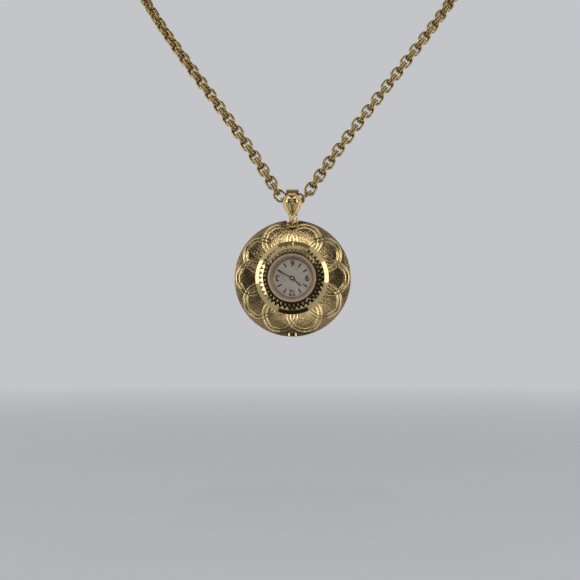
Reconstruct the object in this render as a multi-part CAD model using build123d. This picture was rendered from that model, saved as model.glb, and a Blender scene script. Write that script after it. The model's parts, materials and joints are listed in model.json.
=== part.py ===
"""Pendant watch: a round gold-tone case with a dome of interlaced rings, a diamond-cut bezel and a small
hand-wound movement, hanging from a teardrop bail on a double-link neck chain.

Millimetres, +Z up, the watch faces -Y. The origin is on the nape, where the chain bears on the neck.
The watch itself is drawn in its own frame (x to the viewer's right, y towards the bail, z towards the
viewer, origin in the middle of the case) and then hung on the chain by place_watch().
"""
from build123d import *
import os
from math import asin, atan2, cos, degrees, hypot, pi, radians, sin

# Clearances
seat_gap = 0.03       # between two pieces that sit on each other
run_gap = 0.05        # between a piece that turns and what it turns in
overrun = 1.0         # how far a cutter passes the face it cuts

# Case shell: radii from the case axis, heights along the watch's z
case_r = 16.0
case_wall = 0.8
rim_front = 0.35
rim_back = -2.2
dome_rise = 1.75
dome_bulge = 0.3
seat_r = 9.6
opening_r = 7.0
seat_z = rim_front + dome_rise
cavity_r = case_r - case_wall

# Rosette of double rings in relief on the dome
rosette_count = 10
rosette_r = 10.6
ring_outer_r = 4.73
ring_inner_r = 3.83
ring_width = 0.42
ring_rise = 0.13
ring_root = 0.2

# Bezel with two rows of cut facets
bezel_r = 10.0
bezel_edge = 0.4
bezel_ridge_r = 8.95
bezel_rise = 1.4
facet_mid_r = 7.95
facet_mid_drop = 0.2
facet_end_r = 6.8
facet_end_drop = 0.65
facet_count = 40
facet_depth = 0.34
facet_inner_depth = 0.26
facet_share = 0.95
facet_land = 0.06
facet_over = 0.2
bezel_spigot = 0.6
bezel_wall = 0.65

# Crystal
crystal_gap = 0.05
crystal_seat = 0.3
crystal_skirt = 0.85
crystal_bevel = 0.35
crystal_bevel_rise = 0.25
crystal_rise = 0.95
crystal_wall = 0.7
crystal_dome_wall = 0.6

# Snap back
back_drop = 2.2
back_flat_r = 11.0
back_wall = 0.5
back_lip = 0.6
back_lip_wall = 0.45

# Crown, stem, tube and their pocket in the rim
stem_z = -0.9
crown_r = 1.78
crown_len = 1.02
crown_flutes = 16
flute_r = 0.16
crown_crown = 0.18
pocket_r = 2.1
pocket_depth = 1.07
pad_depth = 1.1
pad_half = 2.6
tube_r = 0.85
tube_len = 1.5
stem_r = 0.42
stem_inner_r = 0.3
stem_pivot_r = 0.18

# Dial and hands
dial_r = 6.2
dial_bottom = 0.4
dial_thick = 0.3
dial_top = dial_bottom + dial_thick
dial_hole_r = 0.6
dial_turn = 180.0      # the dial hangs with its 12 towards the crown
dial_foot_r = 0.22
dial_foot_at = 5.6
dial_foot_turn = 38.0
dial_foot_len = 0.9
mark_thick = 0.06
baton_in = 3.4
baton_out = 4.65
hour_step = 30.0
baton_width = 0.3
numeral_height = 1.5
numeral_stroke = 0.24
numeral_at = 4.05
numeral_gap = 0.42
# The figures' strokes in shares of their height, from the foot: two points are a line, three an arc
figure_shares = {
    "1": [((0, 0), (0, 1)), ((0, 1), (-0.18, 0.82))],
    "2": [
        ((-0.25, 0.74), (0, 0.97), (0.24, 0.7)),
        ((0.24, 0.7), (-0.26, 0)),
        ((-0.26, 0), (0.28, 0)),
    ],
    "3": [
        ((-0.21, 0.87), (0.2, 0.76), (-0.02, 0.54)),
        ((-0.02, 0.54), (0.25, 0.27), (-0.27, 0.18)),
    ],
    "6": [
        ((0.2, 0.96), (-0.14, 0.74), (-0.24, 0.29)),
        ((-0.24, 0.29), (0, 0.05), (0.24, 0.29)),
        ((0.24, 0.29), (0, 0.53), (-0.24, 0.29)),
    ],
}
ring_seat_r = 5.2
ring_slope = 0.7
ring_foot = 0.15
ring_height = 1.5
minute_len = 4.6
minute_angle = 152.1
hour_len = 3.17
hour_angle = -42.6
hand_width = 0.27
hand_tip = 0.1
hand_thick = 0.13
hour_hand_z = 0.92
hour_hub_r = 0.62
minute_hand_z = 1.2
minute_hub_r = 0.5
hand_tail = 0.9

# Movement holder
holder_in = 6.45
holder_out = 14.3
holder_mid = 11.8
holder_back = -2.9
holder_step = -1.95
holder_front = 0.3
holder_rim_front = -0.55
holder_tunnel_r = 0.75

# Movement: plate, bridges and their levels
plate_r = 6.4
plate_front = -0.05
plate_back = -1.35
train_floor = -1.45
bridge_front = -2.75
bridge_back = -3.35
bridge_r = 6.3
bridge_split = 0.12
pillar_r = 0.5
train_pillars = ((3.6, 4.4), (5.45, 0.75), (0.2, 5.4))
barrel_pillars = ((-2.9, -4.95), (-2.6, 4.6))
cock_foot = (5.55, -1.45)
cock_foot_r = 0.42
screw_r = 0.2
screw_head_r = 0.38
screw_head = 0.22
screw_depth = 0.55
screw_slot = 0.1

# Wheels: centres, tooth counts, pitch modules and levels
tooth_tip_share = 0.9
tooth_root_share = 1.15
tooth_tip_half_share = 0.13
tooth_root_half_share = 0.25
spiral_steps = 20
spoke_windows = 4
centre_teeth, centre_leaves = 64, 8
third_teeth, third_leaves = 60, 8
fourth_teeth, fourth_leaves = 60, 8
escape_teeth, escape_leaves = 15, 6
barrel_teeth = 64
centre_module = 0.07
third_module = 0.062
fourth_module = 0.055
barrel_module = 0.0886
third_turn = 60.0
fourth_turn = -20.0
escape_turn = -95.0
barrel_turn = 189.0
wheel_thick = 0.15
arbor_r = 0.14
pivot_r = 0.07
pivot_len = 0.3
spoke = 0.22
rim_share = 0.82
hub_share = 0.22
centre_level = -2.45
third_level = -1.85
fourth_level = -2.13
escape_level = -1.8
escape_r = 0.95
escape_hook = 0.26
escape_lean_shares = (0.45, 0.55)
barrel_drum_r = 2.6
barrel_back = -2.2
barrel_flange = 0.28
barrel_wall = 0.14
barrel_arbor_r = 0.42
mainspring_turns = 7
mainspring_thick = 0.08
mainspring_in = 0.75

# Escapement and balance
pallet_pos = (3.2, -1.5)
pallet_level = -1.83
pallet_reach = 0.62
pallet_span = 0.66
pallet_bar = 0.16
fork_len = 0.95
balance_pos = (3.4, -2.9)
balance_level = -2.35
balance_r = 1.8
balance_rim = 0.26
roller_r = 0.3
hairspring_turns = 6
hairspring_in = 0.32
hairspring_out = 1.05
hairspring_thick = 0.045
hairspring_high = 0.11
hairspring_level = -2.68

# Keyless works and winding wheels
crown_wheel_y = -3.9
crown_wheel_teeth = 30
ratchet_teeth = 36
winding_module = 0.1386
winding_level = -3.62
winding_thick = 0.2
skirt_r = 1.22
skirt_wall = 0.3
stud_r = 0.34
stud_head_r = 0.62
stud_screw_r = 0.18
stud_bar = (-1.95, -1.7)
stud_bar_half = 1.9
stud_bar_width = 0.7
stud_foot = 0.5
winding_pinion_r = 1.08
winding_pinion_len = 0.9
winding_pinion_teeth = 14
crown_wheel_contrate = 18
clutch_r = 0.72
clutch_len = 1.15
clutch_gap = 0.12
clutch_teeth = 10
groove_half = 0.12
groove_depth = 0.25
keyless_slot_end = -2.35
lever_thick = 0.14
lever_pos = (-1.9, -5.1)
lever_arm = 1.6
lever_turn = -15.0
lever_width = 0.46
yoke_pos = (-2.6, -2.9)
yoke_tip_x = -0.25
yoke_pin_r = 0.08
click_pos = (-5.3, -2.75)
click_len = 1.0
click_beak_share = 0.17
click_width = 0.42
click_thick = 0.16

# Motion works under the dial
cannon_leaves, minute_wheel_teeth = 10, 30
minute_leaves, hour_wheel_teeth = 8, 32
setting_teeth = 15
motion_module = 0.08
minute_wheel_turn = -60.0
setting_wheel_turn = -84.0
cannon_pipe_r = 0.26
hour_pipe_r = 0.45
motion_low = -0.02
motion_thick = 0.1
motion_high = 0.14

# Hanger eye on the case, jump ring and bail
hang_z = stem_z
notch_r = 1.6
notch_at = 15.6
notch_sink = 0.2
eye_r = 0.95
eye_wire_r = 0.25
eye_at = 15.15
eye_post = 0.9
jump_r = 1.4
jump_wire_r = 0.25
jump_twist = 40.0
jump_lean = 8.0
jump_hang = 0.22
bail_axis = 22.1
bail_in_r = 2.15
bail_wall = 0.55
bail_foot_in_r = 1.2
bail_foot_at = 18.7
bail_width = 3.36
bail_foot_width = 0.7
drop_half = 2.6
drop_wide_at = 21.3
drop_top_at = 23.3
drop_top_half = 1.0
drop_tip_at = 15.9
drop_thick = 0.45
drop_rim = 0.28
drop_cheek_share = 0.65
drop_waist_share = 0.58
tip_inset_share = 2.2
drop_sink = 0.14
dome_half = 1.9
dome_top_at = 22.9
dome_tip_at = 16.9
dome_high = 1.5
dome_steps = 6
dome_flat_share = 0.5

# Neck chain: a double cable of closed oval rings on a loop round the neck
wire = 0.65
link_width = 3.3
link_pitch = 2.62
link_play = 0.45
twin_gap = 0.04
single_rings = 2       # stations with one ring in place of two, in the bail
bend_start = 1.3
bend_r = 3.2
bend_turn = 62.0
bend_lean = 25.0
strand_points = ((9.2, 5.2, 9.9), (24.4, 15.0, 32.0))
strand_half = 45.6
strand_back = 30.0
strand_rise = 63.0
side_half = 57.0
side_back = 62.0
side_rise = 95.0
rear_half = 44.0
rear_back = 100.0
rear_rise = 112.0
nape_back = 122.0
nape_rise = 119.0
nape_bear = 1.6       # from the neck to the chain's centreline
outward_x = 0.36      # how fast the links turn to face sideways along the loop
left_roll = 24.0
front_stations = 31    # stations on each side that belong to the front halves

# Spring ring clasp and the ring that it takes
clasp_r = 3.0
clasp_tube_r = 0.75
clasp_bore_r = 0.5
clasp_gate_r = 0.42
clasp_mouth = 48.0
gate_slot = 30.0
gate_reach = 34.0
gate_travel = 40.0
knob_r = 0.3
knob_len = 0.75
clasp_eye_r = 1.05
clasp_eye_wire_r = 0.28
clasp_eye_sunk = 0.1
clasp_spring_r = 0.4
clasp_spring_start = 126.0
clasp_spring_turn = 140.0
end_ring_r = 1.8
end_ring_wire_r = 0.32
clasp_reach = 6.51

BASE = (Align.CENTER, Align.CENTER, Align.MIN)
X = Vector(1, 0, 0)


# Helpers
def post(radius, low, high, at=(0, 0)):
    """A cylinder along z."""
    return Pos(at[0], at[1], low) * Cylinder(radius, high - low, align=BASE)


def tube(outer, inner, low, high, at=(0, 0)):
    """A pipe along z."""
    return post(outer, low, high, at) - post(inner, low - overrun, high + overrun, at)


def block(x_low, x_high, y_low, y_high, low, high):
    """A box between two corners."""
    size = Box(x_high - x_low, y_high - y_low, high - low)
    return Pos((x_low + x_high) / 2, (y_low + y_high) / 2, (low + high) / 2) * size


def spun(*lines):
    """A solid of revolution about z from lines drawn as (radius, z)."""
    return revolve(Plane.XZ * make_face(Curve() + list(lines)), Axis.Z)


def spun_points(*points):
    """A solid of revolution about z from corner points (radius, z)."""
    return spun(Polyline(*points, close=True))


def along_stem(radius, start, end):
    """A cylinder on the stem's axis, from one distance from the case's middle to another."""
    return Pos(0, -start, stem_z) * Rot(90, 0, 0) * Cylinder(radius, end - start, align=BASE)


def polar(radius, degree, origin=(0, 0)):
    return (origin[0] + radius * cos(radians(degree)), origin[1] + radius * sin(radians(degree)))


def gear_radius(teeth, module):
    return teeth * module / 2


def toothed(teeth, module, low, high, phase=0.0):
    """A spur wheel: straight-sided teeth, a little narrower than their gaps."""
    tip = gear_radius(teeth, module) + tooth_tip_share * module
    root = gear_radius(teeth, module) - tooth_root_share * module
    step = 360.0 / teeth
    outline = []
    for i in range(teeth):
        middle = phase + i * step
        outline += [
            polar(root, middle - tooth_root_half_share * step),
            polar(tip, middle - tooth_tip_half_share * step),
            polar(tip, middle + tooth_tip_half_share * step),
            polar(root, middle + tooth_root_half_share * step),
        ]
    return Pos(0, 0, low) * extrude(make_face(Polyline(*outline, close=True)), amount=high - low)


def windows(radius, low, high, spokes):
    """What is cut out of a wheel between its hub, its rim and its spokes."""
    band = tube(rim_share * radius, hub_share * radius + spoke, low - overrun, high + overrun)
    for i in range(spokes):
        arm = block(0, radius + overrun, -spoke / 2, spoke / 2, low - 2 * overrun, high + 2 * overrun)
        band -= Rot(0, 0, i * 360.0 / spokes) * arm
    return band


def mesh_phase(driver_teeth, driver_phase, driven_teeth, line_of_centres):
    """The phase that puts a gap of the driven wheel on the driver's tooth, on their line of centres."""
    step = 360.0 / driver_teeth
    off = ((line_of_centres - driver_phase) / step) % 1.0
    return line_of_centres + 180.0 + (off + 1 / 2) * 360.0 / driven_teeth


def arbor(low, high):
    """A wheel's axle with a thin pivot at each end."""
    body = post(arbor_r, low, high)
    return body + post(pivot_r, low - pivot_len, low) + post(pivot_r, high, high + pivot_len)


def spiral_ribbon(inner, outer, turns, thick, low, high):
    """A flat spiral spring: a ribbon of even thickness wound from the inside out."""
    count = turns * spiral_steps
    middle = [(inner + (outer - inner) * i / count, i * 360.0 / spiral_steps) for i in range(count + 1)]
    there = [polar(r + thick / 2, a) for r, a in middle]
    back = [polar(r - thick / 2, a) for r, a in reversed(middle)]
    return Pos(0, 0, low) * extrude(make_face(Polyline(*there, *back, close=True)), amount=high - low)


def torus_part(radius, wire_r, start, sweep_angle):
    """Part of a ring of round wire in the xy plane."""
    path = CenterArc((0, 0), radius, start, sweep_angle)
    section = Plane(origin=path @ 0, z_dir=path % 0) * Circle(wire_r)
    return sweep(section, path=path)


# Case
def dome_arc(lift):
    """The dome's line from the rim to the bezel's seat, raised by lift."""
    middle_r = (case_r + seat_r) / 2
    middle_z = (rim_front + seat_z) / 2 + dome_bulge
    return ThreePointArc((case_r, rim_front + lift), (middle_r, middle_z + lift), (seat_r, seat_z + lift))


def crown_pocket():
    return along_stem(pocket_r, case_r - pocket_depth, case_r + overrun)


def hanger_notch():
    return post(notch_r, rim_back - overrun, seat_z + overrun, (0, notch_at))


def rim_pads():
    """Solid pads inside the rim, where the crown's pocket and the hanger's notch are cut."""
    low, high = rim_back, rim_front
    pad_front = -case_r + pocket_depth + pad_depth
    crown_pad = block(-pad_half, pad_half, -cavity_r - seat_gap, pad_front, low, high)
    notch_floor = notch_at - notch_r
    hanger_pad = block(-pad_half, pad_half, notch_floor - pad_depth, cavity_r + seat_gap, low, high)
    return (crown_pad + hanger_pad) & post(case_r - case_wall / 2, low, high)


def rosette():
    """The interlaced double rings, as ridges that follow the dome."""
    rings = Sketch()
    for i in range(rosette_count):
        centre = polar(rosette_r, i * 360.0 / rosette_count)
        for radius in (ring_outer_r, ring_inner_r):
            band = Circle(radius + ring_width / 2) - Circle(radius - ring_width / 2)
            rings += Pos(*centre) * band
    rings = (rings & Circle(case_r - ring_width / 2)) - Circle(bezel_r + seat_gap)
    upper = dome_arc(ring_rise)
    lower = dome_arc(-ring_root)
    shell = spun(upper, Line(upper @ 1, lower @ 1), lower, Line(lower @ 0, upper @ 0))
    return Pos(0, 0, rim_back) * extrude(rings, amount=seat_z - rim_back + overrun) & shell


def case_front():
    outer = dome_arc(0)
    inner_rim = (cavity_r, rim_front - case_wall / 2)
    inner_seat = (seat_r, seat_z - case_wall)
    inner_mid = (
        (cavity_r + seat_r) / 2,
        (inner_rim[1] + inner_seat[1]) / 2 + dome_bulge,
    )
    shell = spun(
        Line((case_r, rim_back), (case_r, rim_front)),
        outer,
        Polyline((seat_r, seat_z), (opening_r, seat_z), (opening_r, seat_z - case_wall), inner_seat),
        ThreePointArc(inner_seat, inner_mid, inner_rim),
        Polyline(inner_rim, (cavity_r, rim_back), (case_r, rim_back)),
    )
    shell = shell + rim_pads() + rosette()
    shell -= [crown_pocket(), hanger_notch()]
    shell -= along_stem(tube_r, case_r - pocket_depth - pad_depth - overrun, case_r)
    floor = notch_at - notch_r
    return shell - Pos(0, floor + overrun, hang_z) * Rot(90, 0, 0) * Cylinder(
        eye_wire_r, eye_post + overrun, align=BASE
    )


def case_back():
    """The snap-on back: a shallow dish with a lip inside the rim."""
    floor = rim_back - back_drop
    lip_r = cavity_r - seat_gap
    dish = spun_points(
        (0, floor),
        (back_flat_r, floor),
        (case_r, rim_back - case_wall / 2),
        (case_r, rim_back - seat_gap),
        (lip_r, rim_back - seat_gap),
        (lip_r, rim_back + back_lip),
        (lip_r - back_lip_wall, rim_back + back_lip),
        (lip_r - back_lip_wall, rim_back - seat_gap),
        (back_flat_r, floor + back_wall),
        (0, floor + back_wall),
    )
    clear = pad_half + seat_gap
    low, high = rim_back - seat_gap, rim_back + back_lip + overrun
    lip_gaps = block(-clear, clear, -case_r, -seat_r, low, high)
    lip_gaps += block(-clear, clear, seat_r, case_r, low, high)
    hollow = post(notch_r, rim_back - notch_sink, rim_back + overrun, (0, notch_at))
    return dish - [crown_pocket(), lip_gaps, hollow]


def case_tube():
    start = case_r - pocket_depth - tube_len
    end = case_r - pocket_depth
    return along_stem(tube_r, start, end) - along_stem(stem_r + run_gap, start - overrun, end + overrun)


def facet_cutter(start, end, depth):
    """A V-shaped groove whose floor starts depth below one point (radius, z) and runs out at another."""
    floor = Vector(start[0], 0, start[1] - depth)
    run = Vector(end[0], 0, end[1]) - floor
    side = -1 if run.X < 0 else 1
    half = start[0] * sin(pi / facet_count) * facet_share
    section = make_face(Polyline((0, 0), (-2 * half, 2 * depth), (2 * half, 2 * depth), close=True))
    frame = Plane(origin=floor, x_dir=(0, side, 0), z_dir=run.normalized())
    return extrude(frame * section, amount=run.length + facet_over)


def bezel_ring():
    ridge_z = seat_z + bezel_rise
    middle = (facet_mid_r, ridge_z - facet_mid_drop)
    inner = (facet_end_r, ridge_z - facet_end_drop)
    bore_r = opening_r - seat_gap - bezel_wall + crystal_seat
    ring = spun_points(
        (bezel_r, seat_z),
        (bezel_r, seat_z + bezel_edge),
        (bezel_ridge_r, ridge_z),
        middle,
        inner,
        (bore_r, ridge_z - facet_end_drop),
        (bore_r, ridge_z - facet_end_drop - crystal_skirt + crystal_seat),
        (opening_r - seat_gap - bezel_wall, ridge_z - facet_end_drop - crystal_skirt + crystal_seat),
        (opening_r - seat_gap - bezel_wall, seat_z - bezel_spigot),
        (opening_r - seat_gap, seat_z - bezel_spigot),
        (opening_r - seat_gap, seat_z),
    )
    outer_cut = facet_cutter((bezel_ridge_r - facet_land, ridge_z), middle, facet_depth)
    inner_cut = facet_cutter(inner, middle, facet_inner_depth)
    cutters = []
    for i in range(facet_count):
        turn = i * 360.0 / facet_count
        cutters.append(Rot(0, 0, turn) * outer_cut)
        cutters.append(Rot(0, 0, turn + 180.0 / facet_count) * inner_cut)
    return ring - cutters


def cap_arc(radius, edge_z, apex_z):
    """A spherical cap's line from its edge to its apex on the axis."""
    high = apex_z - edge_z
    ball = (radius ** 2 + high ** 2) / (2 * high)
    half = asin(radius / ball) / 2
    middle = (ball * sin(half), apex_z - ball + ball * cos(half))
    return ThreePointArc((radius, edge_z), middle, (0, apex_z))


def crystal():
    bore_r = opening_r - seat_gap - bezel_wall + crystal_seat
    radius = bore_r - crystal_gap
    low = seat_z + bezel_rise - facet_end_drop - crystal_skirt + crystal_seat + seat_gap
    edge = low + crystal_skirt - crystal_seat + crystal_bevel_rise
    shoulder = (radius - crystal_bevel, edge + crystal_bevel_rise)
    apex = low + crystal_skirt + crystal_rise
    inner_r = radius - crystal_wall
    under = edge - crystal_bevel_rise
    outside = cap_arc(*shoulder, apex)
    inside = cap_arc(inner_r, under, apex - crystal_dome_wall)
    return spun(
        Polyline((inner_r, under), (inner_r, low), (radius, low), (radius, edge), shoulder),
        outside,
        Line(outside @ 1, inside @ 1),
        inside,
    )


def dial_ring():
    """The sloping ring between the dial and the crystal."""
    outer = opening_r - 2 * seat_gap - bezel_wall
    low = dial_top + seat_gap
    return spun_points(
        (ring_seat_r, low),
        (outer, low),
        (outer, low + ring_height),
        (ring_seat_r + ring_slope, low + ring_height),
        (ring_seat_r, low + ring_foot),
    )


def movement_holder():
    ring = spun_points(
        (holder_in, holder_back),
        (holder_mid, holder_back),
        (holder_out, holder_step),
        (holder_out, holder_rim_front),
        (holder_mid, holder_front),
        (holder_in, holder_front),
    )
    ring -= along_stem(holder_tunnel_r, 0, case_r)
    clear = pad_half + seat_gap
    pads_in = notch_at - notch_r - pad_depth - seat_gap
    low, high = holder_back - overrun, holder_front + overrun
    ring -= block(-clear, clear, pads_in, case_r, low, high)
    tube_in = case_r - pocket_depth - max(tube_len, pad_depth) - seat_gap
    return ring - block(-clear, clear, -case_r, -tube_in, low, high)


# Dial and hands
def dial():
    plate = tube(dial_r, dial_hole_r, dial_bottom, dial_top)
    for side in (0, 180):
        at = polar(dial_foot_at, dial_foot_turn + side)
        plate += post(dial_foot_r, dial_bottom - dial_foot_len, dial_bottom, at)
    return plate


def numeral(digit):
    """A figure centred on the origin, as strokes of even width. A 9 is a 6 upside down."""
    figure = Sketch()
    for points in figure_shares["6" if digit == "9" else digit]:
        spots = [(x * numeral_height, y * numeral_height) for x, y in points]
        line = Line(*spots) if len(spots) == 2 else ThreePointArc(*spots)
        figure += trace(line, numeral_stroke)
    centred = Pos(0, -numeral_height / 2) * figure
    return Rot(0, 0, 180) * centred if digit == "9" else centred


def dial_marks():
    """Batons and the four figures, printed proud of the dial."""
    marks = []
    for hour in range(12):
        turn = 90.0 - hour * hour_step
        if hour % 3:
            bar = Rectangle(baton_out - baton_in, baton_width)
            marks.append(Rot(0, 0, turn) * Pos((baton_in + baton_out) / 2, 0) * bar)
    tens, units = numeral("1"), numeral("2")
    marks.append(Pos(-numeral_gap, numeral_at) * tens)
    marks.append(Pos(numeral_gap, numeral_at) * units)
    marks.append(Pos(numeral_at, 0) * numeral("3"))
    marks.append(Pos(0, -numeral_at) * numeral("6"))
    marks.append(Pos(-numeral_at, 0) * numeral("9"))
    solids = [Pos(0, 0, dial_top) * extrude(mark, amount=mark_thick) for mark in marks]
    return Rot(0, 0, dial_turn) * Compound(children=[s for solid in solids for s in solid.solids()])


def hand(length, hub_r, bore_r, low, angle):
    blade = Polyline(
        (-hand_tail, -hand_width / 2),
        (length - hand_width, -hand_width / 2),
        (length, -hand_tip / 2),
        (length, hand_tip / 2),
        (length - hand_width, hand_width / 2),
        (-hand_tail, hand_width / 2),
        close=True,
    )
    shape = make_face(blade) + Circle(hub_r) - Circle(bore_r)
    return Rot(0, 0, angle) * Pos(0, 0, low) * extrude(shape, amount=hand_thick)


def hour_hand():
    return hand(hour_len, hour_hub_r, hour_pipe_r, hour_hand_z, hour_angle)


def minute_hand():
    return hand(minute_len, minute_hub_r, cannon_pipe_r, minute_hand_z, minute_angle)


# Crown and keyless works
def crown():
    low = case_r - crown_len
    body = along_stem(crown_r, low + run_gap, case_r - crown_crown)
    cap = Pos(0, -(case_r - crown_crown), stem_z) * Rot(90, 0, 0) * Cone(
        crown_r, crown_r - crown_crown, crown_crown, align=BASE
    )
    body += cap
    for i in range(crown_flutes):
        x, z = polar(crown_r, i * 360.0 / crown_flutes)
        body -= Pos(x, 0, z) * along_stem(flute_r, low - overrun, case_r + overrun)
    return body - along_stem(stem_r, low - overrun, low + crown_len / 2)


def winding_stem():
    bearing = plate_r - run_gap
    stem = along_stem(stem_r, bearing, case_r - crown_len / 2)
    stem += along_stem(stem_inner_r, -keyless_slot_end, bearing)
    return stem + along_stem(stem_pivot_r, -keyless_slot_end - pivot_len, -keyless_slot_end)


def pinion_start():
    """Where the winding pinion's inner face lies on the stem: under the crown wheel's contrate teeth."""
    return -crown_wheel_y + skirt_r - skirt_wall / 2 - winding_pinion_len / 2


def ribbed_barrel(radius, teeth, start, end):
    """A pinion on the stem's axis with shallow teeth along it."""
    module = 2 * radius / (teeth + 2)
    wheel = toothed(teeth, module, 0, end - start)
    wheel -= post(stem_inner_r + run_gap, -overrun, end - start + overrun)
    return Pos(0, -start, stem_z) * Rot(90, 0, 0) * wheel


def winding_pinion():
    start = pinion_start()
    return ribbed_barrel(winding_pinion_r, winding_pinion_teeth, start, start + winding_pinion_len)


def clutch_middle():
    """How far from the case's middle the clutch's groove lies on the stem."""
    return pinion_start() - clutch_gap - clutch_len / 2


def sliding_pinion():
    """The clutch, with the groove that the yoke rides in."""
    middle = clutch_middle()
    start, end = middle - clutch_len / 2, middle + clutch_len / 2
    body = ribbed_barrel(clutch_r, clutch_teeth, start, end)
    groove = along_stem(clutch_r + overrun, middle - groove_half, middle + groove_half)
    return body - (groove - along_stem(clutch_r - groove_depth, start, end))


def crown_wheel():
    """The wheel that the winding pinion turns: a flat wheel with a toothed skirt reaching down to it."""
    r = gear_radius(crown_wheel_teeth, winding_module)
    top = winding_level + winding_thick
    wheel = toothed(crown_wheel_teeth, winding_module, winding_level, top, crown_phase())
    low_z = stem_z - winding_pinion_r - run_gap
    skirt = tube(skirt_r, skirt_r - skirt_wall, winding_level, low_z)
    notch_half = pi * skirt_r / crown_wheel_contrate / 2
    for i in range(crown_wheel_contrate):
        notch = block(0, r, -notch_half / 2, notch_half / 2, low_z - skirt_wall / 2, low_z + overrun)
        skirt -= Rot(0, 0, (i + 1 / 2) * 360.0 / crown_wheel_contrate) * notch
    wheel += skirt
    return Pos(0, crown_wheel_y) * (wheel - post(stud_r + run_gap, winding_level - overrun, low_z + overrun))


def barrel_centre():
    away = gear_radius(barrel_teeth, barrel_module) + gear_radius(centre_leaves, barrel_module)
    return polar(away, barrel_turn)


def winding_line():
    """The direction from the crown wheel's centre to the ratchet wheel's, in degrees."""
    bx, by = barrel_centre()
    return degrees(atan2(by - crown_wheel_y, bx))


def crown_phase():
    return winding_line()


def ratchet_wheel():
    phase = mesh_phase(crown_wheel_teeth, crown_phase(), ratchet_teeth, winding_line())
    wheel = toothed(ratchet_teeth, winding_module, winding_level, winding_level + winding_thick, phase)
    wheel -= post(barrel_arbor_r * rim_share, winding_level - overrun, winding_level + overrun)
    return Pos(*barrel_centre()) * wheel


def barrel_arbor():
    """The mainspring's core, its journals in plate and bridge, and the end that carries the ratchet."""
    low = barrel_back + barrel_wall + run_gap
    core = post(barrel_arbor_r + barrel_wall, low, train_floor - barrel_flange)
    journal = post(barrel_arbor_r, bridge_back, train_floor)
    neck = post(barrel_arbor_r * rim_share, winding_level, bridge_back)
    foot = post(barrel_arbor_r * rim_share, train_floor, plate_back + pivot_len)
    return Pos(*barrel_centre()) * (core + journal + neck + foot)


def crown_wheel_stud():
    """The hollow stud that the crown wheel turns on, with its bar across the stem's slot."""
    low, high = stud_bar
    half = stud_bar_width / 2
    bar = block(-stud_bar_half, stud_bar_half, -half, half, low, high)
    for side in (-1, 1):
        foot = side * (stud_bar_half - stud_foot / 2)
        bar += block(foot - stud_foot / 2, foot + stud_foot / 2, -half, half, high, plate_back)
    stud = post(stud_r, winding_level - run_gap, low) - post(stud_screw_r, winding_level - overrun, low)
    return Pos(0, crown_wheel_y) * (bar + stud)


def crown_wheel_screw():
    """The screw whose head keeps the crown wheel on its stud."""
    top = winding_level - run_gap
    head = post(stud_head_r, top - screw_head / 2, top)
    return Pos(0, crown_wheel_y) * (head + post(stud_screw_r, top, stud_bar[0]))


def click():
    """The pawl that holds the ratchet wheel."""
    bx, by = barrel_centre()
    aim = degrees(atan2(by - click_pos[1], bx - click_pos[0])) + click_lean()
    beak = Polyline(
        (0, -click_width / 2),
        (click_len - click_width, -click_width / 2),
        (click_len, click_width * click_beak_share),
        (click_len - click_width, click_width / 2),
        (0, click_width / 2),
        close=True,
    )
    shape = make_face(beak) + Circle(click_width) - Circle(screw_r + run_gap)
    low = winding_level
    return Pos(click_pos[0], click_pos[1], low) * Rot(0, 0, aim) * extrude(shape, amount=click_thick)


def click_lean():
    """How far the click's aim leans off the ratchet's centre, so that its beak meets the tips."""
    bx, by = barrel_centre()
    away = hypot(bx - click_pos[0], by - click_pos[1])
    reach = gear_radius(ratchet_teeth, winding_module) + winding_module
    cosine = (away ** 2 + click_len ** 2 - reach ** 2) / (2 * away * click_len)
    return degrees(pi / 2 - asin(max(-1.0, min(1.0, cosine))))


def lever(length, pivot, turn):
    """A flat lever on the plate, under the dial, with an eye at its pivot."""
    arm = Pos(length / 2, 0) * SlotOverall(length + lever_width, lever_width)
    shape = arm + Circle(lever_width) - Circle(screw_r + run_gap)
    low = plate_front + seat_gap
    return Pos(pivot[0], pivot[1], low) * Rot(0, 0, turn) * extrude(shape, amount=lever_thick)


def setting_lever():
    """The lever that the stem turns when the crown is pulled."""
    return lever(lever_arm, lever_pos, lever_turn)


def yoke():
    """The lever whose pin rides in the clutch's groove."""
    tip = (yoke_tip_x, -clutch_middle())
    run = (tip[0] - yoke_pos[0], tip[1] - yoke_pos[1])
    body = lever(hypot(*run), yoke_pos, degrees(atan2(run[1], run[0])))
    return body + post(yoke_pin_r, stem_z + clutch_r - groove_depth + run_gap, plate_front + seat_gap, tip)


# Going train
def third_centre():
    return polar(gear_radius(centre_teeth + third_leaves, centre_module), third_turn)


def fourth_centre():
    return polar(gear_radius(third_teeth + fourth_leaves, third_module), fourth_turn, third_centre())


def escape_centre():
    return polar(gear_radius(fourth_teeth + escape_leaves, fourth_module), escape_turn, fourth_centre())


def train_wheel(teeth, module, level, leaves, leaf_module, leaf_low, leaf_high, phase, leaf_phase):
    """A wheel and its pinion on one arbor, at the origin."""
    r = gear_radius(teeth, module)
    low, high = level - wheel_thick, level
    wheel = toothed(teeth, module, low, high, phase) - windows(r, low, high, spoke_windows)
    pinion = toothed(leaves, leaf_module, leaf_low, leaf_high, leaf_phase)
    return wheel + pinion + arbor(bridge_front + run_gap, train_floor - run_gap)


def centre_wheel():
    phase = third_turn
    leaf_phase = mesh_phase(barrel_teeth, barrel_turn + 180.0, centre_leaves, barrel_turn + 180.0)
    wheel = train_wheel(
        centre_teeth, centre_module, centre_level, centre_leaves, barrel_module,
        barrel_back + barrel_wall, train_floor - run_gap, phase, leaf_phase,
    )
    return wheel + post(cannon_pipe_r - run_gap - pivot_r, train_floor - run_gap, dial_top)


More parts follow.
